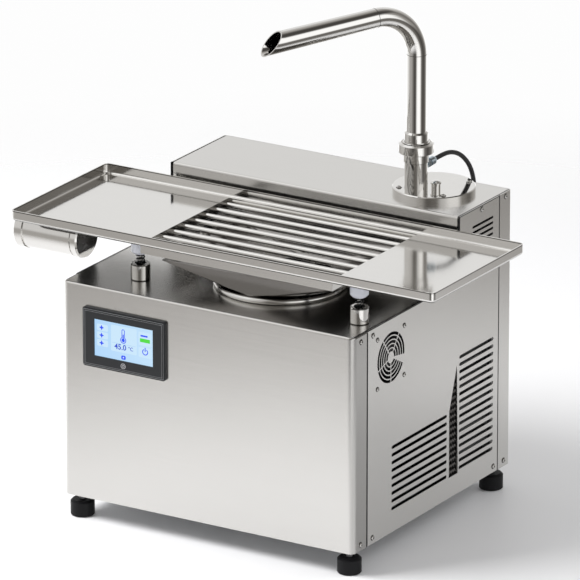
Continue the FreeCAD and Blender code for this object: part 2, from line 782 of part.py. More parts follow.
def grille_openings():
    """Ring slots of the fan grille, crossed by four narrow spokes and one wide one."""
    depth = size("sheet_gauge") + 2
    hub, pitch, web = size("grille_hub"), size("grille_pitch"), size("grille_web")
    axis = Vector(1, 0, 0)
    start = Vector(-1, size("fan_inset"), size("fan_axis_height"))
    rings = []
    for n in range(int(size("grille_rings"))):
        inner = hub + n * pitch
        rings.append(rod(inner + pitch - web, depth, start, axis).cut(rod(inner, depth, start, axis)))
    reach = hub + pitch * len(rings) + 5
    half = size("spoke_width") / 2
    spokes = []
    for n in range(5):
        bar = block(-2, depth, 0, reach, -half, half)
        bar.rotate(Vector(), axis, 54 + 72 * n)
        spokes.append(bar)
    wide = math.radians(size("wide_spoke_angle") / 2)
    tip = Part.makePolygon([Vector(-2, 0, 0), Vector(-2, reach * math.cos(wide), -reach * math.sin(wide)),
                            Vector(-2, reach * math.cos(wide), reach * math.sin(wide)), Vector(-2, 0, 0)])
    wedge = Part.Face(tip).extrude(Vector(depth + 2, 0, 0))
    wedge.rotate(Vector(), axis, 54 + 72 * 4)
    spokes.append(wedge)
    for spoke in spokes:
        spoke.translate(Vector(0, start.y, start.z))
    return Part.makeCompound(rings).cut(Part.makeCompound(spokes))


def right_side_panel():
    """Side sheet with the fan grille, three groups of vent slots and the mesh window."""
    body = side_panel_blank("right_side_sheet")
    vent_group(body, "low_vent_start", "low_vent_end", "vent_height",
               "low_vent_base", "low_vent_pitch", "low_vent_count")
    vent_group(body, "rear_vent_start", "rear_vent_end", "vent_height",
               "rear_vent_base", "rear_vent_pitch", "rear_vent_count")
    vent_group(body, "tower_vent_start", "tower_vent_end", "tower_vent_height",
               "tower_vent_top - tower_vent_pitch * (tower_vent_count - 1)", "tower_vent_pitch",
               "tower_vent_count")
    window = sketch_on(body, "YZ_Plane")
    outline(window, [("mesh_front", "mesh_base"), ("mesh_back", "mesh_base"),
                     ("mesh_apex", "mesh_top"), ("mesh_front", "mesh_bend")])
    cut_through(body, window)
    holes = sketch_on(body, "YZ_Plane")
    for y, z in fan_screws_at():
        circle(holes, y, z, "screw_hole / 2")
    cut_through(body, holes)
    openings = loose("grille_openings", grille_openings())
    panel = doc.addObject("Part::Cut", "right_side_panel")
    panel.Label = "right_side_panel"
    panel.Base = body
    panel.Tool = openings
    return place(panel, x="body_width / 2 - sheet_gauge")


def vent_mesh():
    """Expanded-metal insert behind the upright window."""
    body = new_body("vent_mesh")
    sheet_outline = sketch_on(body, "YZ_Plane")
    outline(sheet_outline, [("mesh_front - mesh_border", "mesh_base - mesh_border"),
                            ("mesh_back", "mesh_base - mesh_border"),
                            ("mesh_back", "mesh_top + mesh_border"),
                            ("mesh_front - mesh_border", "mesh_top + mesh_border")])
    pad(body, sheet_outline, "mesh_gauge")
    return place(body, x="body_width / 2 - sheet_gauge - mesh_gauge - fit_gap / 3")


def corner_posts():
    """Four upright channels that the panels are screwed to, standing on the bottom plate."""
    outer = size("body_width / 2 - sheet_gauge - fit_gap / 3")
    width, wall = size("post_width"), size("post_wall")
    low = size("foot_height + base_gauge")
    hole = size("screw_shank / 2 + fit_gap / 2")
    posts = []
    for side in (-1, 1):
        for near in (True, False):
            depth = size("front_post_depth" if near else "rear_post_depth")
            front = size("post_inset") if near else size("body_depth - post_inset") - depth
            high = size("deck_height" if near else "tower_height") - size("sheet_gauge + fit_gap")
            x0, x1 = sorted((side * outer, side * (outer - width)))
            channel = block(x0, x1, front, front + depth, low, high)
            i0, i1 = sorted((side * (outer - wall), side * (outer - width - 1)))
            channel = channel.cut(block(i0, i1, front + wall, front + depth - wall, low - 1, high + 1))
            for y, z in panel_screws_at() + strip_screws_at():
                start = Vector(side * (outer + 1), size(y), size(z))
                channel = channel.cut(rod(hole, width, start, Vector(-side, 0, 0)))
            posts.append(channel)
    return place(loose("corner_posts", Part.makeCompound(posts)))


def dome(radius, low, high):
    """Arc of a round cap, from its rim up to its crown on the axis."""
    sag = high - low
    ball = (radius ** 2 + sag ** 2) / (2 * sag)
    half = math.asin(radius / ball) / 2
    middle = Vector(ball * math.sin(half), 0, high - ball * (1 - math.cos(half)))
    return Part.Arc(Vector(radius, 0, low), middle, Vector(0, 0, high)).toShape()


def domed(profile, crown):
    """Revolve (radius, height) corners, closed by a dome from the last corner to the axis."""
    points = [Vector(0, 0, crown)] + [Vector(r, 0, z) for r, z in profile]
    edges = [Part.makeLine(points[i], points[i + 1]) for i in range(len(points) - 1)]
    radius, low = profile[-1]
    face = Part.Face(Part.Wire(edges + [dome(radius, low, crown)]))
    return face.revolve(Vector(), Vector(0, 0, 1), 360)


def pan_head_screw(head_radius, rise, shank_radius, reach):
    """A domed screw, its head's underside at the origin and its shank along -Z."""
    return domed([(0, -reach), (shank_radius, -reach), (shank_radius, 0), (head_radius, 0),
                  (head_radius, rise * 0.4)], rise)


def side_screws(places, side):
    """Pan-head screws driven into one side of the cabinet."""
    head = pan_head_screw(size("screw_head / 2"), size("screw_head_rise"),
                          size("screw_shank / 2"), size("screw_reach"))
    head.rotate(Vector(), Vector(0, 1, 0), 90 * side)
    screws = []
    for y, z in places:
        screw = head.copy()
        screw.translate(Vector(side * (size("body_width / 2") + 0.02), size(y), size(z)))
        screws.append(screw)
    return screws


def panel_screws():
    everywhere = panel_screws_at() + strip_screws_at()
    screws = side_screws(everywhere, 1) + side_screws(everywhere, -1)
    return place(loose("panel_screws", Part.makeCompound(screws)))


def foot_places():
    xs = ("-body_width / 2 + foot_inset_x", "body_width / 2 - foot_inset_x")
    ys = ("foot_inset_y", "body_depth - foot_inset_y")
    return [(x, y) for y in ys for x in xs]


def rubber_feet():
    """Four turned rubber feet with a chamfered shoulder and a recess for the bolt head."""
    radius, height, bevel = size("foot_radius"), size("foot_rubber"), size("foot_chamfer")
    recess, depth, bolt = size("foot_recess"), size("foot_recess_depth"), size("foot_bolt + fit_gap")
    profile = [(recess, 0), (radius - bevel / 2, 0), (radius, bevel / 2), (radius, height - bevel),
               (radius - bevel, height), (bolt, height), (bolt, depth), (recess, depth)]
    return place(loose("rubber_feet", at_feet(spun(profile))))


def foot_bolts():
    """A cap bolt through each foot, with a spacing nut on the rubber and a nut in the cabinet."""
    shank, recess, nut = size("foot_bolt"), size("foot_recess - 1.5"), size("foot_bolt * 1.9")
    seat, rubber = size("foot_recess_depth"), size("foot_rubber")
    under, floor, thick = size("foot_height"), size("foot_height + base_gauge"), size("foot_nut")
    bolt = [(0, seat - thick), (recess, seat - thick), (recess, seat), (shank, seat), (shank, rubber),
            (nut * 0.8, rubber), (nut * 0.8, under), (shank, under), (shank, floor), (nut, floor),
            (nut, floor + thick), (0, floor + thick)]
    return place(loose("foot_bolts", at_feet(spun(bolt))))


def spun(profile):
    """Revolve (radius, height) corners about Z."""
    points = [Vector(r, 0, z) for r, z in profile]
    wire = Part.makePolygon(points + points[:1])
    return Part.Face(wire).revolve(Vector(), Vector(0, 0, 1), 360)


def at_feet(shape):
    copies = []
    for x, y in foot_places():
        copy = shape.copy()
        copy.translate(Vector(size(x), size(y), 0))
        copies.append(copy)
    return Part.makeCompound(copies)


# --- touch panel -------------------------------------------------------------------


def framed(body, lift, half_width, half_height, centre_z="0"):
    """A rectangle about the touch panel's own centre, on a plane in front of the sheet."""
    return rectangle(sketch_on(body, "XZ_Plane", lift), f"-({half_width})", half_width,
                     f"{centre_z} - ({half_height})", f"{centre_z} + ({half_height})")


def touch_bezel():
    """Moulded frame of the touch panel, with a stepped rim and a sloping display window."""
    body = new_body("touch_bezel")
    lower = framed(body, "0", "bezel_width / 2", "bezel_height / 2")
    pad(body, lower, "bezel_proud - bezel_step_drop")
    raised = framed(body, "0", "bezel_width / 2 - bezel_step", "bezel_height / 2 - bezel_step")
    face = pad(body, raised, "bezel_proud")
    across = lambda m, run: abs(run.x) < 1e-4 and abs(run.z) < 1e-4
    round_edges(body, face, "bezel_corner", across)
    window = framed(body, "bezel_proud", "display_width / 2", "display_height / 2", "display_rise")
    pocket(body, window, "display_drop + display_gauge")
    return place(body, x="panel_centre_x", z="panel_centre_height")


def touch_display():
    body = new_body("touch_display")
    glass = framed(body, "bezel_proud - display_drop - display_gauge",
                   "display_width / 2 - fit_gap / 3", "display_height / 2 - fit_gap / 3", "display_rise")
    pad(body, glass, "display_gauge")
    return place(body, x="panel_centre_x", z="panel_centre_height")


def touch_module():
    """Controller case behind the front sheet."""
    body = new_body("touch_module")
    plan = framed(body, "0", "module_width / 2", "module_height / 2")
    pad(body, plan, "module_depth", reverse=True)
    return place(body, x="panel_centre_x", z="panel_centre_height")


# --- cooling fan -------------------------------------------------------------------

FAN_FACE = "body_width / 2 - sheet_gauge - fit_gap / 3"


def fan_screws_at():
    pitch = "fan_screw_pitch / 2"
    return [(f"fan_inset + {a} * {pitch}", f"fan_axis_height + {b} * {pitch}")
            for a in ("-1", "1") for b in ("-1", "1")]


def fan_frame():
    """Square frame of the axial fan, with its bore, screw holes and three struts to the hub."""
    body = new_body("fan_frame")
    plan = rectangle(sketch_on(body, "XY_Plane"), "-fan_frame_size / 2", "fan_frame_size / 2",
                     "-fan_frame_size / 2", "fan_frame_size / 2")
    cube = pad(body, plan, "fan_frame_depth")
    round_edges(body, cube, "3.5", upright)
    bore = circle(sketch_on(body, "XY_Plane"), "0", "0", "fan_bore")
    cut_through(body, bore)
    holes = sketch_on(body, "XY_Plane")
    for x in ("-1", "1"):
        for y in ("-1", "1"):
            circle(holes, f"{x} * fan_screw_pitch / 2", f"{y} * fan_screw_pitch / 2", "screw_hole / 2")
    cut_through(body, holes)
    motor_plate = circle(sketch_on(body, "XY_Plane"), "0", "0", "fan_hub")
    pad(body, motor_plate, "strut_depth")
    struts = sketch_on(body, "XY_Plane")
    rectangle(struts, "-fan_bore - 1", "fan_bore + 1", "-strut_width / 2", "strut_width / 2")
    pad(body, struts, "strut_depth")
    crossing = sketch_on(body, "XY_Plane")
    rectangle(crossing, "-strut_width / 2", "strut_width / 2", "-fan_bore - 1", "fan_bore + 1")
    pad(body, crossing, "strut_depth")
    pin = circle(sketch_on(body, "XY_Plane"), "0", "0", "fan_pin")
    pad(body, pin, "12")
    return place(body, x=f"{FAN_FACE} - fan_frame_depth", y="fan_inset", z="fan_axis_height",
                 turn=Rotation(Vector(0, 1, 0), 90))


def fan_rotor():
    """Hub cup and twisted blades, turning about X."""
    hub, tip, depth = size("fan_hub"), size("fan_tip"), size("fan_rotor_depth")
    start = Vector(size("strut_depth + fit_gap"), 0, 0)
    axis = Vector(1, 0, 0)
    rotor = rod(hub, depth, start, axis).cut(rod(size("fan_pin") + 0.05, 9.6, start, axis))
    blades = []
    count = int(size("fan_blades"))
    for n in range(count):
        blade = Part.makeBox(depth * 1.05, 1.4, tip - hub + 3, Vector(-depth * 0.525, -0.7, 0))
        blade.rotate(Vector(), Vector(0, 0, 1), size("fan_blade_pitch"))
        blade.translate(Vector(start.x + depth / 2, 0, hub - 3))
        blade.rotate(Vector(), axis, 360.0 * n / count)
        blades.append(blade)
    swept = rod(tip, depth, start, axis)
    swept = swept.cut(rod(hub - 2, depth, start, axis))
    rotor = rotor.fuse([blade.common(swept) for blade in blades]).removeSplitter()
    return place(loose("fan_rotor", rotor), x=f"{FAN_FACE} - fan_frame_depth", y="fan_inset",
                 z="fan_axis_height")


def fan_screws():
    """Four long screws through the side panel and the fan frame."""
    return place(loose("fan_screws", Part.makeCompound(side_screws(fan_screws_at(), 1))))


# --- tank and funnel ---------------------------------------------------------------


def tank():
    """Spun bowl with a rolled bead that rests on the deck."""
    inner, gauge_ = size("tank_radius"), size("sheet_gauge")
    outer = inner + gauge_
    floor, top = size("tank_floor"), size("deck_height + rim_bead")
    bead = size("rim_bead")
    hole = size("shaft_radius + 2")
    fillet = size("tank_fillet")
    lean = math.sqrt(0.5)

    def corner(radius, low, bend):
        """Arc from the floor up into the wall."""
        centre = Vector(radius - bend, 0, low + bend)
        return Part.Arc(Vector(centre.x, 0, low), centre + Vector(bend * lean, 0, -bend * lean),
                        Vector(radius, 0, centre.z)).toShape()

    under = corner(outer, floor - gauge_, fillet + gauge_)
    within = corner(inner, floor, fillet)
    line = lambda a, b: Part.makeLine(Vector(*a), Vector(*b))
    meet = top - bead * math.sqrt(1 - (1 - gauge_ / bead) ** 2)
    crown = Vector(inner + bead, 0, top + bead)
    curl = Part.Arc(Vector(outer, 0, meet), Vector(inner + bead * 2, 0, top), crown)
    lip = Part.Arc(crown, Vector(inner + bead * (1 - lean), 0, top + bead * lean), Vector(inner, 0, top))
    edges = [line((hole, 0, floor - gauge_), (outer - fillet - gauge_, 0, floor - gauge_)), under,
             line((outer, 0, floor + fillet), (outer, 0, meet)), curl.toShape(), lip.toShape(),
             line((inner, 0, top), (inner, 0, floor + fillet)), within,
             line((inner - fillet, 0, floor), (hole, 0, floor)),
             line((hole, 0, floor), (hole, 0, floor - gauge_))]
    bowl = Part.Face(Part.Wire(Part.__sortEdges__(edges))).revolve(Vector(), Vector(0, 0, 1), 360)
    head = duct_heading()
    opening = rod(size("duct_radius - duct_wall"), outer, Vector(0, 0, size("duct_height")), head)
    bowl = bowl.cut(opening)
    return place(loose("tank", bowl), x="tank_x", y="tank_y")


def duct_heading():
    """Level direction from the tank's axis to the pump's axis."""
    return Vector(size("pump_x - tank_x"), size("pump_y - tank_y"), 0).normalize()


def transfer_duct():
    """Pipe from the foot of the tank to the foot of the pump barrel."""
    head = duct_heading()
    height, outer, wall = size("duct_height"), size("duct_radius"), size("duct_wall")
    span = math.hypot(size("pump_x - tank_x"), size("pump_y - tank_y"))
    foot = Vector(0, 0, height)
    pipe = rod(outer, span, foot, head).cut(rod(outer - wall, span, foot, head))
    low, tall = height - 2 * outer, 4 * outer
    tank_wall = size("tank_radius + sheet_gauge") + 0.02
    pipe = pipe.cut(rod(tank_wall, tall, Vector(0, 0, low)))
    barrel = Vector(size("pump_x - tank_x"), size("pump_y - tank_y"), low)
    pipe = pipe.cut(rod(size("barrel_radius") + 0.02, tall, barrel))
    return place(loose("transfer_duct", pipe), x="tank_x", y="tank_y")


def heating_jacket():
    """Water and heater jacket round the bowl."""
    inner = "tank_radius + sheet_gauge + fit_gap"
    outer = f"{inner} + jacket_thickness"
    edge = f"{outer} - jacket_chamfer"
    body = revolved("heating_jacket", [
        (inner, "jacket_base"), (edge, "jacket_base"), (outer, "jacket_base + jacket_chamfer"),
        (outer, "jacket_top - jacket_chamfer"), (edge, "jacket_top"), (inner, "jacket_top")])
    return place(body, x="tank_x", y="tank_y")


def rounded_rectangle(x0, x1, y0, y1, z, radius):
    """Eight edges, anticlockwise from the middle of the front left corner's end."""
    s = radius * (1 - math.sqrt(0.5))
    v = lambda x, y: Vector(x, y, z)
    line = lambda a, b: Part.makeLine(a, b)
    arc = lambda a, b, c: Part.Arc(a, b, c).toShape()
    return Part.Wire([
        line(v(x0 + radius, y0), v(x1 - radius, y0)),
        arc(v(x1 - radius, y0), v(x1 - s, y0 + s), v(x1, y0 + radius)),
        line(v(x1, y0 + radius), v(x1, y1 - radius)),
        arc(v(x1, y1 - radius), v(x1 - s, y1 - s), v(x1 - radius, y1)),
        line(v(x1 - radius, y1), v(x0 + radius, y1)),
        arc(v(x0 + radius, y1), v(x0 + s, y1 - s), v(x0, y1 - radius)),
        line(v(x0, y1 - radius), v(x0, y0 + radius)),
        arc(v(x0, y0 + radius), v(x0 + s, y0 + s), v(x0 + radius, y0))])


def split_circle(radius, x, y, z, half_flat=2.0):
    """A circle in eight arcs: short ones that face the rectangle's sides, long ones its corners."""
    stops = []
    for quarter in (-90, 0, 90, 180):
        stops += [quarter - half_flat, quarter + half_flat]
    at = lambda a: Vector(x + radius * math.cos(math.radians(a)), y + radius * math.sin(math.radians(a)), z)
    arcs = []
    for i, angle in enumerate(stops):
        after = stops[i + 1] if i + 1 < len(stops) else stops[0] + 360
        arcs.append(Part.Arc(at(angle), at((angle + after) / 2), at(after)).toShape())
    return Part.Wire(arcs)


def funnel_solid(inset):
    """Square mouth narrowing to a round throat, as a ruled solid."""
    x, y = size("tank_x"), size("tank_y")
    radius = size("tank_radius - fit_gap") - inset
    mouth = rounded_rectangle(size("funnel_left") + inset, size("funnel_right") - inset,
                              size("funnel_front") + inset, size("funnel_back") - inset,
                              size("funnel_top"), size("funnel_corner"))
    throat = split_circle(radius, x, y, size("funnel_throat"))
    cone = Part.makeLoft([throat, mouth], True, True)
    collar = rod(radius, size("funnel_collar"), Vector(x, y, size("funnel_throat - funnel_collar")))
    return cone, collar


def funnel():
    """Sheet hopper that stands in the tank's rim under the grate."""
    cone, collar = funnel_solid(0)
    cone_hole, collar_hole = funnel_solid(size("funnel_gauge"))
    shell = cone.cut(cone_hole)
    neck = collar.cut(collar_hole)
    return place(loose("funnel", shell.fuse(neck)))


# --- agitator ----------------------------------------------------------------------


def gearmotor(label, x, y):
    """Can motor standing on the bottom plate with a gearbox on top."""
    body = new_body(label)
    can = circle(sketch_on(body, "XY_Plane"), "0", "0", "motor_can_radius")
    pad(body, can, "motor_can_height")
    half = "gearbox_size / 2"
    box = rectangle(sketch_on(body, "XY_Plane", "motor_can_height"), f"-{half}", half, f"-{half}", half)
    gearbox = pad(body, box, "gearbox_height")
    low = size("motor_can_height") + 1
    round_edges(body, gearbox, "gearbox_corner", lambda m, run: upright(m, run) and m.z > low)
    top = sketch_on(body, "XY_Plane", "motor_can_height + gearbox_height")
    pad(body, circle(top, "0", "0", "coupling_radius"), "gearbox_boss")
    return place(body, x=x, y=y, z="foot_height + base_gauge")


SEAL_TOP = "tank_floor - sheet_gauge - fit_gap / 3"


def shaft_seal():
    """Lip seal in the hole at the bottom of the bowl."""
    body = revolved("shaft_seal", [("shaft_radius + fit_gap", f"{SEAL_TOP} - seal_height"),
                                   ("seal_radius", f"{SEAL_TOP} - seal_height"),
                                   ("seal_radius", SEAL_TOP), ("shaft_radius + fit_gap", SEAL_TOP)])
    return place(body, x="tank_x", y="tank_y")


def agitator_shaft():
    """Upright shaft from the gearbox to the cross arm, with its coupling."""
    body = revolved("agitator_shaft",
                    [("0", "gearbox_top + fit_gap"), ("coupling_radius", "gearbox_top + fit_gap"),
                     ("coupling_radius", f"{SEAL_TOP} - seal_height - 2"),
                     ("shaft_radius", f"{SEAL_TOP} - seal_height - 2"),
                     ("shaft_radius", "arm_height - arm_thickness"), ("0", "arm_height - arm_thickness")])
    return place(body, x="tank_x", y="tank_y")


def agitator_arm():
    """Flat cross arm with a clamped hub."""
    body = new_body("agitator_arm")
    bar = rectangle(sketch_on(body, "XY_Plane", "arm_height - arm_thickness"),
                    "-arm_span / 2", "arm_span / 2", "-arm_width / 2", "arm_width / 2")
    arm = pad(body, bar, "arm_thickness")
    round_edges(body, arm, "arm_width / 2 - 0.5", upright)
    cap = circle(sketch_on(body, "XY_Plane", "arm_height"), "0", "0", "coupling_radius - 2")
    pad(body, cap, "arm_cap")
    return place(body, x="tank_x", y="tank_y")


def scraper_blades():
    """Two plastic blades hung from the arm, one at the wall and one half way in."""
    top, low = size("arm_height - arm_thickness"), size("tank_floor + tank_fillet")
    half = size("scraper_thickness / 2")
    reach = size("tank_radius - scraper_gap")
    width = size("scraper_width")
    neck, tip = top - size("scraper_neck"), size("arm_span / 2 - arm_gap")
    wall = block(reach - width, reach - half, -half, half, low, neck)
    wall = wall.fuse(block(reach - width, tip, -half, half, neck, top))
    inner = block(-reach * 0.62, -reach * 0.62 + width, -half, half, low, top)
    return place(loose("scraper_blades", Part.makeCompound([wall, inner])),
                 x="tank_x", y="tank_y")


# --- screw pump --------------------------------------------------------------------

def pump_barrel():
    """Upright tube with a bearing floor and the duct's side inlet."""
    bore, floor = "barrel_radius - barrel_wall", "barrel_base + barrel_floor"
    body = revolved("pump_barrel",
                    [("shaft_radius + 0.05", "barrel_base"), ("barrel_radius", "barrel_base"),
                     ("barrel_radius", "barrel_top"), (bore, "barrel_top"), (bore, floor),
                     ("shaft_radius + 0.05", floor)])
    heading = duct_heading()
    inlet = circle(sketch_on(body, "XZ_Plane"), "0", "duct_height", "duct_radius - duct_wall")
    pocket(body, inlet, "barrel_radius + 2", reverse=True)
    angle = math.degrees(math.atan2(heading.y, heading.x)) - 90
    return place(body, x="pump_x", y="pump_y", turn=Rotation(Vector(0, 0, 1), angle))


def auger():
    """Pump screw: core with a helical flight, turning in the barrel."""
    pitch, thick, core = size("auger_pitch"), size("auger_flight"), size("auger_core")
    tip = size("barrel_radius - barrel_wall - auger_clearance")
    low = size("barrel_base + barrel_floor") + 3
    tall = size("barrel_top") - low - 8
    turns = math.floor(tall / pitch)
    helix = Part.makeHelix(pitch, pitch * turns, tip)
    root = core - 1
    section = Part.makePolygon([Vector(root, 0, 0), Vector(tip, 0, 0), Vector(tip, 0, thick),
                                Vector(root, 0, thick), Vector(root, 0, 0)])
    flight = Part.Wire(helix).makePipeShell([section], True, True)
    flight = flight.common(rod(tip, tall + 20, Vector(0, 0, -10)))
    flight.translate(Vector(0, 0, low))
    shaft = rod(core, tall, Vector(0, 0, low - 2))
    journal = rod(size("shaft_radius"), 12, Vector(0, 0, low - 12))
    screw = shaft.fuse([flight, journal])
    coupling_top = size("barrel_base") - 2
    coupling = rod(size("coupling_radius"), coupling_top - size("gearbox_top") - 0.3,
                   Vector(0, 0, size("gearbox_top") + 0.3))
    link = rod(size("shaft_radius"), 16, Vector(0, 0, coupling_top - 2))
    screw = screw.fuse([coupling, link]).removeSplitter()
    return place(loose("auger", screw), x="pump_x", y="pump_y")


def pump_head():
    """Block under the tower's top that turns the flow from the barrel into the riser."""
    outer, high = size("pump_head_radius"), size("pump_head_height")
    low = size("barrel_top")
    bore = size("barrel_radius - barrel_wall")
    head = rod(outer, high + size("sheet_gauge"), Vector(0, 0, low))
    head = head.cut(rod(bore, high - 8, Vector(0, 0, low)))
    off_x, off_y = size("riser_offset_x"), size("riser_offset_y")
    reach = math.hypot(off_x, off_y) * 0.8
    toward = Vector(off_x, off_y, 0).normalize()
    bore = size("pump_head_duct")
    elbow = Vector(0, 0, low + high - 2 * bore - 1)
    duct = rod(bore, reach, elbow, toward)
    rise = rod(bore, high, elbow + toward * reach)
    head = head.cut(duct.fuse(rise))
    return place(loose("pump_head", head), x="pump_x", y="pump_y")


def flange_disc():
    """Round cover bolted on the tower, with the riser's hole near its front edge."""
    body = revolved("flange_disc", [
        ("0", "0"), ("disc_radius", "0"), ("disc_radius", "disc_thickness - disc_chamfer"),
        ("disc_radius - disc_chamfer", "disc_thickness"), ("0", "disc_thickness")])
    hole = circle(sketch_on(body, "XY_Plane"), "riser_offset_x", "riser_offset_y", "riser_radius - 3")
    cut_through(body, hole)
    across = sketch_on(body, "XY_Plane")
    first = circle(across, "disc_screw_circle * 0.70711", "disc_screw_circle * 0.70711", "screw_hole / 2")
    drilled = cut_through(body, first)
    pattern = body.newObject("PartDesign::PolarPattern", "flange_disc_circle")
    pattern.Originals = [drilled]
    pattern.Axis = (first, ["N_Axis"])
    pattern.Angle = 360
    pattern.Occurrences = 4
    body.Tip = pattern
    return place(body, x="pump_x", y="pump_y", z="tower_height")


def flange_screws():
    screw = pan_head_screw(size("disc_screw_head"), size("disc_screw_rise"),
                           size("screw_shank / 2"), size("disc_thickness"))
    reach, seat = size("disc_screw_circle"), size("disc_thickness") + 0.02
    screws = []
    for n in range(4):
        angle = math.radians(45 + 90 * n)
        copy = screw.copy()
        copy.translate(Vector(reach * math.cos(angle), reach * math.sin(angle), seat))
        screws.append(copy)
    return place(loose("flange_screws", Part.makeCompound(screws)), x="pump_x", y="pump_y", z="tower_height")


def bleed_plug():
    """Domed plug beside the riser that lets air out of the pump head."""
    head, neck, rise = size("plug_radius"), size("plug_neck"), size("plug_rise")
    shape = domed([(0, 0), (neck, 0), (neck, rise * 0.6), (head, rise * 0.64), (head, rise * 0.78)], rise)
    return place(loose("bleed_plug", shape), x="pump_x + plug_offset_x", y="pump_y + plug_offset_y",
                 z="tower_height + disc_thickness + 0.02")


# --- riser, union and spout --------------------------------------------------------

def riser():
    """Heated stand pipe with the lower half of the union."""
    base = "tower_height + disc_thickness + 0.02"
    bore = "spout_radius - spout_wall"
    body = revolved("riser", [(bore, base), ("riser_radius", base), ("riser_radius", "riser_top"),
                              ("ferrule_radius", "riser_top + 1.2"),
                              ("ferrule_radius", "nut_base + 6"), (bore, "nut_base + 6")])
    return place(body, x="riser_x", y="riser_y")


def union_nut():
    """Round union nut, captive on the ferrules, with a turned groove round its raised lip."""
    top, shoulder = "nut_base + nut_height", "nut_radius - nut_shoulder"
    inner, lip = "upper_ferrule_radius + fit_gap", f"{shoulder} - nut_groove"
    bore = "ferrule_radius + fit_gap"
    body = revolved("union_nut", [
        (bore, "nut_base"), ("nut_radius - nut_chamfer", "nut_base"),
        ("nut_radius", "nut_base + nut_chamfer"), ("nut_radius", f"{top} - nut_shoulder * 0.6"),
        (shoulder, top), (shoulder, f"{top} - nut_groove"), (lip, f"{top} - nut_groove"),
        (lip, f"{top} + nut_lip / 2"), (f"{lip} - nut_lip / 2", f"{top} + nut_lip"),
        (inner, f"{top} + nut_lip"), (inner, f"{top} - 4"), (f"{bore} + 1", f"{top} - 5"),
        (f"{bore} + 1", f"{top} - 8"), (bore, f"{top} - 8")])
    return place(body, x="riser_x", y="riser_y")


def spout():
    """Swivelling pipe: stand pipe, long elbow and outlet, cut off at a slant, with its ferrule."""
    radius, wall = size("spout_radius"), size("spout_wall")
    bend, angle = size("bend_radius"), math.radians(size("bend_angle"))
    low, turn_at = size("nut_base + 6") + 0.3, size("bend_start")
    heading = math.radians(size("outlet_heading"))
    out = Vector(math.cos(heading), math.sin(heading), 0)
    up = Vector(0, 0, 1)
    foot, start = Vector(0, 0, low), Vector(0, 0, turn_at)

    def on_bend(a):
        return start + out * (bend * (1 - math.cos(a))) + up * (bend * math.sin(a))

    end = on_bend(angle)
    along = out * math.sin(angle) + up * math.cos(angle)
    length, flare = size("outlet_length"), size("outlet_flare")
    path = Part.Wire([Part.makeLine(foot, start), Part.Arc(start, on_bend(angle / 2), end).toShape()])

    def tube(r):
        """Stand pipe and elbow as a swept circle, the outlet as a slowly widening cone."""
        swept = path.makePipeShell([Part.Wire(Part.Circle(foot, up, r).toShape())], True, False)
        return swept.fuse(Part.makeCone(r, r + flare, length, end, along))

    shoulder, collar = size("upper_ferrule_top"), size("upper_ferrule_radius")
    ferrule = rod(collar, shoulder - low, foot)
    ferrule = ferrule.fuse(Part.makeCone(collar, radius, collar - radius, Vector(0, 0, shoulder)))
    pipe = tube(radius).fuse(ferrule).cut(tube(radius - wall))
    lift = (up - along * up.dot(along)).normalize()
    slant = math.radians(size("outlet_cut"))
    face_normal = along * math.sin(slant) + lift * math.cos(slant)
    reach = 8 * radius
    cutter = Part.makeBox(reach, reach, reach, Vector(-reach / 2, -reach / 2, 0))
    tip = end + along * (length - (radius + flare) / math.tan(slant))
    cutter.Placement = Placement(tip, Rotation(up, face_normal))
    pipe = pipe.cut(cutter).removeSplitter()
    return place(loose("spout", pipe), x="riser_x", y="riser_y")


# --- vibrating table ---------------------------------------------------------------

def table_pan():
    """Shallow pan with an upturned rim, its opening edged by a skirt that carries the rods."""
    body = new_body("table_pan")
    plan = rectangle(sketch_on(body, "XY_Plane", "table_floor"), "table_left", "table_right",
                     "table_front", "table_back")
    pad(body, plan, "table_rim")
    hollow_plan = rectangle(sketch_on(body, "XY_Plane", "table_top"),
                            "table_left + table_gauge", "table_right - table_gauge",
                            "table_front + table_gauge", "table_back - table_gauge")
    hollow = pocket(body, hollow_plan, "table_rim - table_gauge")
    left, right = size("table_left") + 0.01, size("table_right") - 0.01
    under, floor = size("table_floor"), size("table_floor + table_gauge")
    inner = round_edges(body, hollow, "table_corner - table_gauge",
                        lambda m, run: upright(m, run) and left < m.x < right)
    trough = round_edges(body, inner, "table_bend - table_gauge", lambda m, run: abs(m.z - floor) < 0.01)
    outer = round_edges(body, trough, "table_corner",
                        lambda m, run: upright(m, run) and not left < m.x < right)
    round_edges(body, outer, "table_bend", lambda m, run: abs(m.z - under) < 0.01)
    skirt = rectangle(sketch_on(body, "XY_Plane", "table_floor - grate_skirt"),
                      "grate_left - table_gauge", "grate_right + table_gauge",
                      "grate_front - table_gauge", "grate_back + table_gauge")
    pad(body, skirt, "grate_skirt + table_gauge / 2")
    opening = rectangle(sketch_on(body, "XY_Plane"), "grate_left", "grate_right", "grate_front", "grate_back")
    cut_through(body, opening)
    seat = circle(sketch_on(body, "YZ_Plane"), "rod_first", "rod_height", "rod_radius")
    holes = body.newObject("PartDesign::Pocket", "table_pan_rod_holes")
    holes.Profile = seat
    holes.SideType = "Symmetric"
    bind(holes, "Length", "2 * (grate_right + table_gauge + rod_margin_front)")
    repeat(body, holes, seat, "H_Axis", "rod_pitch", "rod_count")
    return place(body)


def grate_rods():
    """Polished rods that carry the moulds over the funnel, welded into the skirt."""
    left, right = size("grate_left - table_gauge"), size("grate_right + table_gauge")
    height, radius = size("rod_height"), size("rod_radius")
    first, pitch = size("rod_first"), size("rod_pitch")
    rods = [rod(radius, right - left, Vector(left, first + n * pitch, height), Vector(1, 0, 0))
            for n in range(int(size("rod_count")))]
    return place(loose("grate_rods", Part.makeCompound(rods)))


def support_places():
    return [(x, y) for y in ("support_front", "support_back") for x in ("support_left", "support_right")]


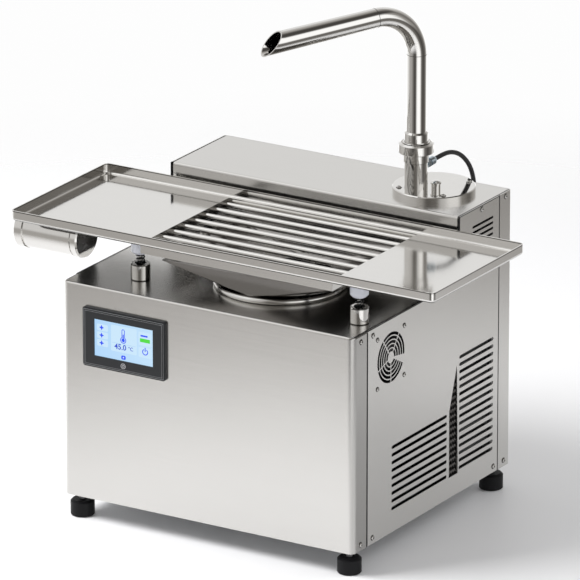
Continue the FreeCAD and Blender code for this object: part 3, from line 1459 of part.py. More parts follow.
def at_supports(shape):
    copies = []
    for x, y in support_places():
        copy = shape.copy()
        copy.translate(Vector(size(x), size(y), 0))
        copies.append(copy)
    return Part.makeCompound(copies)


def support_cups():
    """Turned steel cups screwed down on the deck."""
    radius, high, bore, floor = size("cup_radius"), size("cup_height"), size("cup_bore"), size("cup_floor")
    base = size("deck_height")
    profile = [(0, base), (radius, base), (radius, base + high - 1), (radius - 1, base + high),
               (bore, base + high), (bore, base + floor), (0, base + floor)]
    return place(loose("support_cups", at_supports(spun(profile))))


def table_springs():
    """Four coil springs between the cups and the bushings."""
    low, high = size("deck_height + cup_floor") + 0.05, size("bushing_base") - 0.05
    wire, radius, turns = size("spring_wire"), size("spring_radius"), size("spring_turns")
    tall = high - low - 2 * wire
    helix = Part.makeHelix(tall / turns, tall, radius)
    section = Part.Wire(Part.Circle(Vector(radius, 0, 0), Vector(0, 1, 0), wire).toShape())
    coil = Part.Wire(helix).makePipeShell([section], True, True)
    coil.translate(Vector(0, 0, low + wire))
    return place(loose("table_springs", at_supports(coil)))


def spring_bushings():
    """Plastic bushings under the table, one on each spring."""
    radius, bevel, bore = size("bushing_radius"), size("bushing_chamfer"), size("stud_radius")
    low, high = size("bushing_base"), size("table_floor")
    profile = [(bore, low), (radius - bevel, low), (radius, low + bevel), (radius, high), (bore, high)]
    return place(loose("spring_bushings", at_supports(spun(profile))))


def table_studs():
    """Guide pins that hang from the table into the springs."""
    radius = size("stud_radius")
    low, high = size("stud_foot"), size("table_floor")
    profile = [(0, low), (radius - 1, low), (radius, low + 1), (radius, high), (0, high)]
    return place(loose("table_studs", at_supports(spun(profile))))


ALONG_X = Rotation(Vector(0, 1, 0), 90)


def vibrator_case():
    """Tube of the vibration motor, hung crosswise under the table."""
    bore, radius = "vibrator_radius - vibrator_wall", "vibrator_radius"
    low, high = "left_cap_length", "vibrator_length - right_cap_length"
    body = revolved("vibrator_case", [(bore, low), (radius, low), (radius, high), (bore, high)])
    return place(body, x="vibrator_left", y="vibrator_y", z="vibrator_z", turn=ALONG_X)


def vibrator_cap(label, length, mirrored):
    """End cap with a grooved inner edge, carrying one bearing of the shaft."""
    at = (lambda s: f"vibrator_length - ({s})") if mirrored else (lambda s: s)
    rim, bore = "vibrator_radius + cap_lip", "vibrator_radius - vibrator_wall"
    groove, bearing, mouth = f"{rim} - cap_groove_depth", "vibrator_shaft + 0.05", f"{length} - fit_gap / 3"
    body = revolved(label, [
        ("0", at("0")), (f"{rim} - 2", at("0")), (rim, at("2")),
        (rim, at(f"{length} - cap_groove")), (groove, at(f"{length} - cap_groove")),
        (groove, at(mouth)), (bore, at(mouth)), (bore, at("cap_floor")),
        (bearing, at("cap_floor")), (bearing, at("cap_bearing")), ("0", at("cap_bearing"))])
    return place(body, x="vibrator_left", y="vibrator_y", z="vibrator_z", turn=ALONG_X)


def vibrator_rotor():
    """Motor shaft with its rotor pack."""
    low, high = "cap_bearing + fit_gap", "vibrator_length - cap_bearing - fit_gap"
    body = revolved("vibrator_rotor", [
        ("0", low), ("vibrator_shaft", low),
        ("vibrator_shaft", "rotor_inset"), ("rotor_radius", "rotor_inset"),
        ("rotor_radius", "vibrator_length - rotor_inset"),
        ("vibrator_shaft", "vibrator_length - rotor_inset"),
        ("vibrator_shaft", high), ("0", high)])
    return place(body, x="vibrator_left", y="vibrator_y", z="vibrator_z", turn=ALONG_X)


def eccentric_weights():
    """Half-moon weights near both ends of the shaft."""
    radius, thick, shaft = size("weight_radius"), size("weight_thickness"), size("vibrator_shaft")
    weights = []
    inset, hub_wall = size("weight_inset"), size("weight_hub")
    for start in (inset, size("vibrator_length") - inset - thick):
        disc = rod(radius, thick, Vector(start, 0, 0), Vector(1, 0, 0))
        half = block(start - 1, start + thick + 1, -radius, radius, shaft * 0.4, radius + 1)
        hub = rod(shaft + hub_wall, thick, Vector(start, 0, 0), Vector(1, 0, 0))
        hole = rod(shaft, thick, Vector(start, 0, 0), Vector(1, 0, 0))
        weights.append(disc.cut(half).fuse(hub).cut(hole))
    return place(loose("eccentric_weights", Part.makeCompound(weights)),
                 x="vibrator_left", y="vibrator_y", z="vibrator_z")


def vibrator_shoe():
    """Saddle between the motor's tube and the table."""
    long, wide, radius = size("shoe_length"), size("shoe_width"), size("vibrator_radius")
    middle = size("vibrator_length") / 2
    top = radius + size("vibrator_seat")
    shoe = block(middle - long / 2, middle + long / 2, -wide / 2, wide / 2, radius * 0.72, top)
    shoe = shoe.cut(rod(radius + 0.05, size("vibrator_length"), Vector(0, 0, 0), Vector(1, 0, 0)))
    return place(loose("vibrator_shoe", shoe), x="vibrator_left", y="vibrator_y", z="vibrator_z")


# --- heater lead -------------------------------------------------------------------


def riser_gland():
    """Cable gland screwed into the side of the riser: a thin neck, a hexagon and a domed nut."""
    radius, long, entry = size("gland_radius"), size("gland_length"), size("riser_radius - 1.2")
    stops = [entry + long * part for part in (0, 0.22, 0.5, 0.56, 0.86, 1)]
    profile = [(0, stops[0]), (radius * 0.6, stops[0]), (radius * 0.6, stops[2]), (radius * 0.78, stops[2]),
               (radius * 0.78, stops[3]), (radius, stops[3]), (radius, stops[4]),
               (radius * 0.7, stops[5]), (0, stops[5])]
    turns = [math.radians(60 * n) for n in range(7)]
    reach = radius * 1.1
    corners = [Vector(reach * math.cos(turn), reach * math.sin(turn), stops[1]) for turn in turns]
    hexagon = Part.Face(Part.makePolygon(corners)).extrude(Vector(0, 0, stops[2] - stops[1]))
    shape = spun(profile).fuse(hexagon)
    shape.rotate(Vector(), Vector(0, 1, 0), 90 - size("gland_tilt"))
    shape.rotate(Vector(), Vector(0, 0, 1), size("gland_heading"))
    column = rod(size("riser_radius") + 0.02, 6 * radius, Vector(0, 0, -3 * radius))
    return place(loose("riser_gland", shape.cut(column)), x="riser_x", y="riser_y", z="gland_height")


def rear_gland():
    """Elbow gland on the rear panel that takes the heater lead from above."""
    reach, radius = size("rear_gland_reach"), size("rear_gland_radius")
    back = Vector(0, 1, 0)
    flange = rod(radius, 4, Vector(0, 0.02, 0), back)
    neck = rod(radius - 2.3, 8, Vector(0, -6, 0), back)
    arm = rod(radius - 2, reach - radius + 2, Vector(0, 0.02, 0), back)
    axis_y = reach - radius + 1
    column = rod(radius - 1, radius + 12, Vector(0, axis_y, -radius + 1))
    collar = rod(radius - 2.5, 5, Vector(0, axis_y, 13))
    shape = flange.fuse([neck, arm, column, collar]).removeSplitter()
    return place(loose("rear_gland", shape), x="rear_gland_x", y="body_depth", z="rear_gland_height")


def gland_axis():
    """Direction in which the riser's gland and the lead in it point."""
    heading, tilt = math.radians(size("gland_heading")), math.radians(size("gland_tilt"))
    level = math.cos(tilt)
    return Vector(math.cos(heading) * level, math.sin(heading) * level, math.sin(tilt))


# corners of the lead after its first run: part of the level way, then rise above the gland
LEAD_CORNERS = ((0.42, 2.0), (0.66, -7.0), (0.89, -28.0))


def lead_route():
    """Corners of the heater lead, from the riser's gland over the tower and down to the rear gland."""
    axis = gland_axis()
    origin = Vector(size("riser_x"), size("riser_y"), size("gland_height"))
    start = origin + axis * (size("riser_radius - 1.2 + gland_length") + 0.02)
    end = Vector(size("rear_gland_x"), size("body_depth + rear_gland_reach - rear_gland_radius + 1"),
                 size("rear_gland_height") + 18.02)
    way = Vector(end.x - start.x, end.y - start.y, 0)
    middle = [start + way * part + Vector(0, 0, rise) for part, rise in LEAD_CORNERS]
    last_run = Vector(0, 0, size("lead_last_run"))
    return [start, start + axis * size("lead_first_run")] + middle + [end + last_run, end]


def heater_lead():
    """Braided lead of the riser's heater, as straight runs joined by tangent arcs."""
    points = lead_route()
    edges = []
    last = points[0]
    for before, here, after in zip(points, points[1:], points[2:]):
        a, b = before - here, after - here
        turn = math.pi - a.getAngle(b)
        radius = 0.45 * min(a.Length, b.Length) / math.tan(turn / 2)
        trim = radius * math.tan(turn / 2)
        a.normalize()
        b.normalize()
        enter, leave = here + a * trim, here + b * trim
        bisector = (a + b).normalize()
        middle = here + bisector * (radius / math.cos(turn / 2) - radius)
        edges.append(Part.makeLine(last, enter))
        edges.append(Part.Arc(enter, middle, leave).toShape())
        last = leave
        print(f"heater lead bend radius {radius:.1f} mm")
    edges.append(Part.makeLine(last, points[-1]))
    path = Part.Wire(edges)
    start_way = (points[1] - points[0]).normalize()
    section = Part.Wire(Part.Circle(points[0], start_way, size("lead_radius")).toShape())
    tube = path.makePipeShell([section], True, False)
    expected = math.pi * size("lead_radius") ** 2 * path.Length
    print(f"heater lead length {path.Length:.1f} mm, volume {tube.Volume:.0f} of {expected:.0f} mm3")
    return place(loose("heater_lead", tube))


# --- services inside and behind ----------------------------------------------------


def mains_inlet():
    """Appliance inlet with its flange outside the rear panel and three pins in its mouth."""
    body = new_body("mains_inlet")
    wide, tall = "inlet_width / 2", "inlet_tall / 2"
    flange = rectangle(sketch_on(body, "XZ_Plane"), f"-{wide} - inlet_flange", f"{wide} + inlet_flange",
                       f"-{tall} - inlet_flange / 2", f"{tall} + inlet_flange / 2")
    pad(body, flange, "inlet_lip", reverse=True)
    case = rectangle(sketch_on(body, "XZ_Plane"), f"-{wide} + 0.5", f"{wide} - 0.5",
                     f"-{tall} + 0.5", f"{tall} - 0.5")
    pad(body, case, "inlet_depth")
    mouth = rectangle(sketch_on(body, "XZ_Plane", "-inlet_lip - 1"), "3 - inlet_width / 2",
                      "inlet_width / 2 - 3", "-8", "8")
    pocket(body, mouth, "inlet_depth - 3", reverse=True)
    for x, z in (("-6", "-2"), ("6", "-2"), ("0", "3")):
        pin = rectangle(sketch_on(body, "XZ_Plane", "inlet_depth - 5"), f"{x} - 1", f"{x} + 1",
                        f"{z} - 2.5", f"{z} + 2.5")
        pad(body, pin, "inlet_depth - 8", reverse=True)
    return place(body, x="inlet_x", y="body_depth + 0.02", z="inlet_height")


def compressor():
    """Hermetic compressor of the cooling circuit, on a footplate."""
    body = revolved("compressor", [
        ("0", "0"), ("compressor_radius", "0"), ("compressor_radius", "4"),
        ("compressor_radius - 8", "4"), ("compressor_radius - 3", "30"),
        ("compressor_radius - 3", "compressor_height * 0.75"),
        ("compressor_radius - 14", "compressor_height * 0.92"),
        ("compressor_radius - 34", "compressor_height"), ("0", "compressor_height")])
    return place(body, x="compressor_x", y="compressor_y", z="foot_height + base_gauge")


def condenser():
    """Finned block of the cooling circuit, behind the rear vents."""
    body = new_body("condenser")
    plan = rectangle(sketch_on(body, "XY_Plane"), "-condenser_thickness", "0", "0", "condenser_length")
    pad(body, plan, "condenser_height")
    pitch = "(condenser_height - 2 * condenser_border) / condenser_fins"
    gap = rectangle(sketch_on(body, "YZ_Plane"), "condenser_border", "condenser_length - condenser_border",
                    "condenser_border", f"condenser_border + {pitch} * 0.7")
    first = pocket(body, gap, "condenser_thickness * 0.4")
    repeat(body, first, gap, "V_Axis", pitch, "condenser_fins")
    return place(body, x="body_width / 2 - sheet_gauge - 4", y="condenser_front",
                 z="foot_height + base_gauge")


def control_box():
    """Electrical box on the left side."""
    body = new_body("control_box")
    plan = rectangle(sketch_on(body, "XY_Plane"), "0", "control_box_depth", "0", "control_box_length")
    case = pad(body, plan, "control_box_height")
    round_edges(body, case, "3", upright)
    return place(body, x="-body_width / 2 + sheet_gauge + fit_gap", y="control_box_inset",
                 z="control_box_base")


def build():
    front_shell()
    tower_cover()
    rear_panel()
    base_plate()
    right_side_panel()
    left_side_panel()
    vent_mesh()
    corner_posts()
    panel_screws()
    rubber_feet()
    foot_bolts()
    touch_bezel()
    touch_display()
    touch_module()
    fan_frame()
    fan_rotor()
    fan_screws()
    tank()
    heating_jacket()
    transfer_duct()
    funnel()
    shaft_seal()
    gearmotor("agitator_gearmotor", "tank_x", "tank_y")
    agitator_shaft()
    agitator_arm()
    scraper_blades()
    gearmotor("pump_gearmotor", "pump_x", "pump_y")
    pump_barrel()
    auger()
    pump_head()
    flange_disc()
    flange_screws()
    bleed_plug()
    riser()
    union_nut()
    spout()
    table_pan()
    grate_rods()
    support_cups()
    table_springs()
    spring_bushings()
    table_studs()
    vibrator_case()
    vibrator_cap("vibrator_left_cap", "left_cap_length", False)
    vibrator_cap("vibrator_right_cap", "right_cap_length", True)
    vibrator_rotor()
    eccentric_weights()
    vibrator_shoe()
    riser_gland()
    rear_gland()
    heater_lead()
    mains_inlet()
    compressor()
    condenser()
    control_box()


def check():
    """Stop if anything failed to build."""
    doc.recompute()
    for thing in doc.Objects:
        if "Invalid" in thing.State or "Error" in thing.State:
            raise RuntimeError(f"{thing.Name} failed: {thing.State}")
    for piece in FINISHED:
        if piece.Shape.isNull() or not piece.Shape.isValid():
            raise RuntimeError(f"{piece.Label} has no valid shape")


def export():
    os.makedirs("parts", exist_ok=True)
    for piece in FINISHED:
        piece.Shape.exportStep(os.path.join("parts", piece.Label + ".step"))
    print(f"{len(FINISHED)} sub-parts written")


build()
check()
export()
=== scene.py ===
# %% [markdown]
# # Chocolate tempering machine
# The solids of the machine come ready made, each in its own place, and this lesson dresses them.
# First come the camera, the heater lead, the floor and the light. Then come the finishes, as materials
# made of nodes, and last the pieces that need a finer mesh than the solids have. All lengths are metres.

# %% Load the solids
import math

import bmesh
import bpy
from mathutils import Matrix, Vector


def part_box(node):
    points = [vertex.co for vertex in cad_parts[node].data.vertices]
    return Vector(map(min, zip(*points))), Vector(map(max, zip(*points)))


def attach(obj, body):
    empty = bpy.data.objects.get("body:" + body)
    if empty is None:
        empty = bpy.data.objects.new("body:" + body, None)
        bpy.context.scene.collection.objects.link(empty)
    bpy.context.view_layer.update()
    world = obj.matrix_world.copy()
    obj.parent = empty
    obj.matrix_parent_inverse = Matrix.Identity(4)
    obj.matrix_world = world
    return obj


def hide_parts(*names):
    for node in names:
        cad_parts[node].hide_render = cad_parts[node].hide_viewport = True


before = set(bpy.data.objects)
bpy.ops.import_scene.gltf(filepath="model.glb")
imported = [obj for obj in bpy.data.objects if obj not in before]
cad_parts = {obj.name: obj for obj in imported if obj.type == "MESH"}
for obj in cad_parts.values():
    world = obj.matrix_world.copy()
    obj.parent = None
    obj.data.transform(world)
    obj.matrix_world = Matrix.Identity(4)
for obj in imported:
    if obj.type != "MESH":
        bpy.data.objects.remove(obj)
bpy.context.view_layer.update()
scene = bpy.context.scene
MM = 0.001


def add_thing(name, data):
    """A new object in the scene."""
    thing = bpy.data.objects.new(name, data)
    scene.collection.objects.link(thing)
    return thing


# %% [markdown]
# ## Camera
# A product picture of a box-shaped machine is taken from a corner and from a little above, so that three
# faces show. A long lens from far away keeps upright edges upright, where a short one would make them
# lean. The camera is turned by two angles and moved back along its own line of sight, which is easier to
# adjust than a position typed by hand.

# %% Camera
AZIMUTH = math.radians(31.37)
ELEVATION = math.radians(19.09)
LENS = 511.7
DISTANCE = 11.492
SENSOR = 36
AIM = Vector((0.0060, 0.00175, 0.3091))


def look_from(azimuth, elevation, distance, aim):
    """Place of a camera that looks at aim from the right and above."""
    ahead = Vector((-math.sin(azimuth) * math.cos(elevation),
                    math.cos(azimuth) * math.cos(elevation), -math.sin(elevation)))
    turn = ahead.to_track_quat("-Z", "Y")
    return Matrix.Translation(aim - ahead * distance) @ turn.to_matrix().to_4x4()


camera_data = bpy.data.cameras.new("camera")
camera_data.lens = LENS
camera_data.sensor_width = SENSOR
camera_data.clip_end = 60
camera = add_thing("camera", camera_data)
camera.matrix_world = look_from(AZIMUTH, ELEVATION, DISTANCE, AIM)
scene.camera = camera
scene.view_settings.view_transform = "Standard"
print("camera at", tuple(round(v, 3) for v in camera.location))

# %% [markdown]
# ## Heater lead
# A heated riser needs a lead, here a stiff black one of 6.6 mm. It leaves its gland rising a little, bows
# over the back of the tower and drops into the elbow gland. A NURBS spline is the right curve for it: its
# control points only pull the line, so a few of them give one smooth bow, as a stiff lead has. Each point
# carries the lead's radius. The order is set after the points, because a spline with too few points can't
# hold a higher one.

# %% Heater lead
LEAD_DIAMETER = 0.0066
LEAD_POINTS = ((0.1597, 0.13683, 0.4899), (0.1636, 0.15249, 0.49334), (0.16612, 0.17208, 0.4919),
               (0.1698, 0.19222, 0.4829), (0.17332, 0.21152, 0.4619), (0.175, 0.22075, 0.43402),
               (0.175, 0.22075, 0.41402))


def make_lead():
    """The lead as one curve with its own thickness."""
    data = bpy.data.curves.new("heater lead", "CURVE")
    data.dimensions = "3D"
    data.bevel_depth = 1
    data.bevel_resolution = 6
    data.resolution_u = 24
    data.use_fill_caps = True
    spline = data.splines.new("NURBS")
    spline.points.add(len(LEAD_POINTS) - 1)
    for point, place in zip(spline.points, LEAD_POINTS):
        point.co = (*place, 1)
        point.radius = LEAD_DIAMETER / 2
    spline.order_u = 3
    spline.use_endpoint_u = True
    lead = add_thing("heater_lead_sleeve", data)
    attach(lead, "cabinet")
    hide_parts("heater_lead")
    print("lead is", round(spline.calc_length(), 4), "m long")
    return lead


lead = make_lead()

# %% [markdown]
# ## Node helpers
# Materials are trees of nodes. Small helpers keep the scripts that build them short: one adds a node and
# sets its fields, and one feeds a socket with a link or with a plain value. The others do a sum, a step
# between two values, a blend, a colour ramp or a relief, and the last starts a material with its shader.

# %% Node helpers


def add_node(tree, kind, **settings):
    node = tree.nodes.new(kind)
    for name, value in settings.items():
        setattr(node, name, value)
    return node


def feed(tree, socket, value):
    """Link a socket to another one, or set it to a plain value or colour."""
    if isinstance(value, bpy.types.NodeSocket):
        tree.links.new(value, socket)
    else:
        socket.default_value = (*value, 1) if socket.type == "RGBA" else value


def math_node(tree, operation, *values, clamp=False):
    node = add_node(tree, "ShaderNodeMath", operation=operation, use_clamp=clamp)
    for socket, value in zip(node.inputs, values):
        feed(tree, socket, value)
    return node.outputs[0]


def step_node(tree, value, low, high, soft=False):
    """0 below low and 1 above high, with a slope or a soft step between them."""
    node = add_node(tree, "ShaderNodeMapRange", interpolation_type="SMOOTHSTEP" if soft else "LINEAR")
    for name, source in (("Value", value), ("From Min", low), ("From Max", high)):
        feed(tree, node.inputs[name], source)
    return node.outputs[0]


def mix_node(tree, factor, first, second):
    """A blend of two colours."""
    node = add_node(tree, "ShaderNodeMix", data_type="RGBA")
    for name, source in (("Factor", factor), ("A", first), ("B", second)):
        feed(tree, node.inputs[name], source)
    return node.outputs["Result"]


def mix_shader(tree, factor, first, second):
    node = add_node(tree, "ShaderNodeMixShader")
    for socket, source in zip(node.inputs, (factor, first, second)):
        tree.links.new(source, socket)
    return node.outputs[0]


def split_node(tree, vector):
    """The X, Y and Z of a vector."""
    node = add_node(tree, "ShaderNodeSeparateXYZ")
    tree.links.new(vector, node.inputs[0])
    return node.outputs


def object_place(tree):
    return add_node(tree, "ShaderNodeTexCoord").outputs["Object"]


def ramp_node(tree, factor, stops, smooth=False):
    """A colour ramp: stops are (position, grey or colour)."""
    node = add_node(tree, "ShaderNodeValToRGB")
    ramp = node.color_ramp
    if smooth:
        ramp.interpolation = "EASE"
    while len(ramp.elements) < len(stops):
        ramp.elements.new(0.5)
    for element, (position, colour) in zip(ramp.elements, stops):
        element.position = position
        grey = isinstance(colour, (int, float))
        element.color = (colour, colour, colour, 1) if grey else (*colour, 1)
    tree.links.new(factor, node.inputs[0])
    return node.outputs[0]


def new_material(name, colour, metallic=0.0, roughness=0.5, **extra):
    """A material with one Principled shader, and the constants that are the same all over."""
    material = bpy.data.materials.new(name)
    material.use_nodes = True
    shader = material.node_tree.nodes["Principled BSDF"]
    shader.inputs["Base Color"].default_value = (*colour, 1)
    shader.inputs["Metallic"].default_value = metallic
    shader.inputs["Roughness"].default_value = roughness
    for socket, value in extra.items():
        shader.inputs[socket.replace("_", " ")].default_value = value
    return material, material.node_tree, shader


def add_relief(tree, shader, height, strength, depth):
    """A fine relief on the surface."""
    relief = add_node(tree, "ShaderNodeBump")
    relief.inputs["Strength"].default_value = strength
    relief.inputs["Distance"].default_value = depth
    tree.links.new(height, relief.inputs["Height"])
    tree.links.new(relief.outputs[0], shader.inputs["Normal"])


# %% [markdown]
# ## Floor and studio
# Metal has hardly any colour of its own: it shows what stands round it. So the studio is part of the
# finish. Round the white room stand dark cards, as they are set up beside polished metal: they
# draw the dark lines along a pipe and round a rim. One ring of cards stands below eye level, one above it
# and one overhead, and each is a ramp over the compass. The camera itself sees plain white behind.
# The floor is a white disc that fades out before its rim, and to metal it fades sooner, because a lit
# sweep of paper is small.

# %% Floor
FLOOR_RADIUS = 2.2
FLOOR_FADE = (0.9, 1.9)
METAL_FADE = (0.45, 1.55)
METAL_CENTRE = (0.25, 0.0, 0.0)
FLOOR_LIFT = 0.03
METAL_LIFT = 0.12
FLOOR_DROP = 0.2 * MM


def make_floor():
    """A white disc that fades out, sooner to metal than to the camera."""
    mesh = bpy.data.meshes.new("floor")
    shape = bmesh.new()
    bmesh.ops.create_circle(shape, cap_ends=True, segments=96, radius=FLOOR_RADIUS)
    shape.to_mesh(mesh)
    shape.free()
    floor = add_thing("floor", mesh)
    floor.location = (0, 0, -FLOOR_DROP)
    material, tree, shader = new_material("floor white", (0.84, 0.84, 0.85), roughness=0.45,
                                          Specular_IOR_Level=0.2)
    metal = add_node(tree, "ShaderNodeLightPath").outputs["Is Glossy Ray"]

    def seen_by(camera, mirror):
        """One value for the camera and another for metal."""
        return math_node(tree, "MULTIPLY_ADD", metal, mirror - camera, camera)

    shift = add_node(tree, "ShaderNodeVectorMath", operation="SCALE")
    shift.inputs[0].default_value = METAL_CENTRE
    tree.links.new(metal, shift.inputs["Scale"])
    reach = add_node(tree, "ShaderNodeVectorMath", operation="DISTANCE")
    tree.links.new(object_place(tree), reach.inputs[0])
    tree.links.new(shift.outputs[0], reach.inputs[1])
    start, end = (seen_by(plain, seen) for plain, seen in zip(FLOOR_FADE, METAL_FADE))
    fade = step_node(tree, reach.outputs["Value"], start, end, soft=True)
    lift = add_node(tree, "ShaderNodeEmission")
    lift.inputs["Color"].default_value = (1, 1, 1, 1)
    tree.links.new(seen_by(FLOOR_LIFT, METAL_LIFT), lift.inputs["Strength"])
    both = add_node(tree, "ShaderNodeAddShader")
    tree.links.new(shader.outputs[0], both.inputs[0])
    tree.links.new(lift.outputs[0], both.inputs[1])
    clear = add_node(tree, "ShaderNodeBsdfTransparent")
    faded = mix_shader(tree, fade, both.outputs[0], clear.outputs[0])
    tree.links.new(faded, tree.nodes["Material Output"].inputs["Surface"])
    mesh.materials.append(material)
    print("floor fades from", FLOOR_FADE[0], "to", FLOOR_FADE[1], "m")


make_floor()

# %% Studio
ROOM_LIGHT = 0.52
BACKDROP = 0.985
KEY_POWER, RIM_POWER = 112, 14
LAMP_AIM = Vector((0, 0, 0.3))
OVERHEAD, UNDERFOOT = 0.5, 0.75
# heights of the view's direction between which one ring of cards gives way to the next
LOW_TO_HIGH, HIGH_TO_TOP = (-0.12, 0.10), (0.58, 0.76)
TOP_TO_OVERHEAD, UNDERFOOT_TO_LOW = (0.94, 0.99), (-0.85, -0.55)
# compass of the cards, in degrees from +X towards +Y, and how bright the room is there
LOW_CARDS = [(-180, 1.15), (-165, 0.95), (-150, 0.68), (-135, 0.52), (-116, 0.48), (-98, 0.20), (-77, 0.07),
             (-66, 0.25), (-54, 1.20), (-42, 1.45), (-22, 1.42), (-12, 0.85), (-2, 0.20), (20, 0.09),
             (46, 0.18), (66, 0.45), (88, 1.25), (112, 1.3), (154, 1.4), (180, 1.15)]
HIGH_CARDS = [(-180, 0.80), (-150, 0.88), (-118, 0.80), (-98, 0.60), (-78, 0.18), (-55, 0.25), (-38, 0.9),
              (-12, 1.40), (6, 1.40), (26, 0.40), (52, 0.22), (84, 0.60), (106, 0.96), (140, 0.98),
              (158, 0.85), (180, 0.80)]
TOP_CARDS = [(-180, 1.30), (-160, 1.40), (-138, 1.30), (-118, 0.70), (-92, 0.40), (-40, 0.22), (-5, 0.13),
             (28, 0.07), (50, 0.10), (70, 0.22), (92, 0.45), (118, 0.70), (145, 0.85), (165, 1.15),
             (180, 1.30)]


def warm(value):
    """A grey of the room: its shade is a little brown, its light is neutral."""
    lit = min(value, 1.0)
    return (value, value * (0.93 + 0.07 * lit), value * (0.85 + 0.15 * lit))


def make_world():
    """Cards for metal, even light for the rest, and plain white for the camera."""
    world = bpy.data.worlds.new("studio")
    scene.world = world
    world.use_nodes = True
    tree = world.node_tree
    tree.nodes.clear()
    parts = split_node(tree, add_node(tree, "ShaderNodeTexCoord").outputs["Generated"])
    turn = math_node(tree, "ARCTAN2", parts["Y"], parts["X"])
    around = math_node(tree, "MULTIPLY_ADD", turn, 0.5 / math.pi, 0.5)

    def compass(cards):
        stops = [((angle + 180) / 360, warm(value)) for angle, value in cards]
        return ramp_node(tree, around, stops, smooth=True)

    def blend(heights, first, second):
        """first below both heights, second above them."""
        return mix_node(tree, step_node(tree, parts["Z"], *heights, soft=True), first, second)

    def light(colour, strength=1.0):
        node = add_node(tree, "ShaderNodeBackground")
        feed(tree, node.inputs["Color"], colour)
        node.inputs["Strength"].default_value = strength
        return node.outputs[0]

    room = blend(LOW_TO_HIGH, compass(LOW_CARDS), compass(HIGH_CARDS))
    room = blend(HIGH_TO_TOP, room, compass(TOP_CARDS))
    room = blend(TOP_TO_OVERHEAD, room, warm(OVERHEAD))
    room = blend(UNDERFOOT_TO_LOW, warm(UNDERFOOT), room)
    rays = add_node(tree, "ShaderNodeLightPath").outputs
    unseen = mix_shader(tree, rays["Is Glossy Ray"], light((1, 1, 1), ROOM_LIGHT), light(room))
    seen = mix_shader(tree, rays["Is Camera Ray"], unseen, light((BACKDROP,) * 3))
    tree.links.new(seen, add_node(tree, "ShaderNodeOutputWorld").inputs["Surface"])


def make_lamp(name, place, size, power):
    """A rectangle of light that looks at the middle of the machine, and isn't seen in metal."""
    lamp = bpy.data.lights.new(name, "AREA")
    lamp.shape = "RECTANGLE"
    lamp.size, lamp.size_y = size
    lamp.energy = power
    thing = add_thing(name, lamp)
    turn = (LAMP_AIM - Vector(place)).to_track_quat("-Z", "Y")
    thing.matrix_world = Matrix.Translation(place) @ turn.to_matrix().to_4x4()
    thing.visible_glossy = False


make_world()
make_lamp("key softbox", (-1.6, -1.3, 2.4), (1.8, 1.2), KEY_POWER)
make_lamp("rim softbox", (1.9, 1.2, 2.0), (1.2, 1.2), RIM_POWER)
print("cards:", len(LOW_CARDS), "low,", len(HIGH_CARDS), "high,", len(TOP_CARDS), "on top")

# %% [markdown]
# ## Steel
# Every stainless surface here is the same metal with another grind. Sheet is brushed along its length, so
# it is streaked: the streaks are noise squeezed across the brushing direction. The group below gives the
# streaks and some soft clouding once, and each steel picks its own direction, depth and roughness.

# %% Grain group


def add_sockets(tree, in_out, **kinds):
    """Named sockets on the outside of a group."""
    for name, kind in kinds.items():
        tree.interface.new_socket(name, in_out=in_out, socket_type="NodeSocket" + kind)


def noise_node(tree, place, scale, detail, roughness=0.5):
    node = add_node(tree, "ShaderNodeTexNoise")
    for name, value in (("Scale", scale), ("Detail", detail), ("Roughness", roughness), ("Vector", place)):
        feed(tree, node.inputs[name], value)
    return node.outputs["Fac"]


def make_grain_group():
    """Streaks and clouds. Its inputs are a place and the squeeze of the streaks."""
    group = bpy.data.node_groups.new("brushed grain", "ShaderNodeTree")
    add_sockets(group, "INPUT", Place="Vector", Squeeze="Vector")
    add_sockets(group, "OUTPUT", Streaks="Float", Clouds="Float")
    inside = add_node(group, "NodeGroupInput")
    outside = add_node(group, "NodeGroupOutput")
    scaled = add_node(group, "ShaderNodeVectorMath", operation="MULTIPLY")
    group.links.new(inside.outputs["Place"], scaled.inputs[0])
    group.links.new(inside.outputs["Squeeze"], scaled.inputs[1])
    group.links.new(noise_node(group, scaled.outputs[0], 1.0, 4.0, 0.7), outside.inputs["Streaks"])
    group.links.new(noise_node(group, inside.outputs["Place"], 7.0, 3.0), outside.inputs["Clouds"])
    return group


GRAIN = make_grain_group()
# colours of painted shade: a dark one for faces that light hardly reaches, one for dark lines of shadow along
# edges, and a tint for faces turned aside
PAINTED_SHADE_DARK = (0.10, 0.098, 0.095)
PAINTED_EDGE_SHADOW = (0.09, 0.085, 0.08)
PAINTED_FLANK_SHADE = 0.7
FACING = (0.25, 0.7)
UPRIGHT = 0.6
GRAIN_DEPTH = 0.2 * MM
ALONG_X = (6.0, 500.0, 500.0)
ALONG_Y = (500.0, 6.0, 500.0)
ALONG_Z = (500.0, 500.0, 6.0)
ROUND_Z = (40.0, 40.0, 900.0)
ROUND_X = (900.0, 40.0, 40.0)


def paint_shade_on_faces(tree, tint, direction, shade):
    """The tint, but a colour of painted shade where a face looks along the direction."""
    along = add_node(tree, "ShaderNodeVectorMath", operation="DOT_PRODUCT")
    along.inputs[1].default_value = direction
    tree.links.new(add_node(tree, "ShaderNodeNewGeometry").outputs["Normal"], along.inputs[0])
    return mix_node(tree, step_node(tree, along.outputs["Value"], *FACING), tint, shade)


def paint_shadow_bands(tree, tint, shadow_bands, shade):
    """The tint, but a dark line of painted shade in the bands between two heights, on upright faces only."""
    height = split_node(tree, object_place(tree))["Z"]
    looks = split_node(tree, add_node(tree, "ShaderNodeNewGeometry").outputs["Normal"])
    upright = math_node(tree, "LESS_THAN", math_node(tree, "ABSOLUTE", looks["Z"]), UPRIGHT)
    inside = 0.0
    for low, high in shadow_bands:
        band = math_node(tree, "MULTIPLY", math_node(tree, "GREATER_THAN", height, low),
                         math_node(tree, "LESS_THAN", height, high))
        inside = math_node(tree, "MAXIMUM", inside, band)
    return mix_node(tree, math_node(tree, "MULTIPLY", inside, upright), tint, shade)


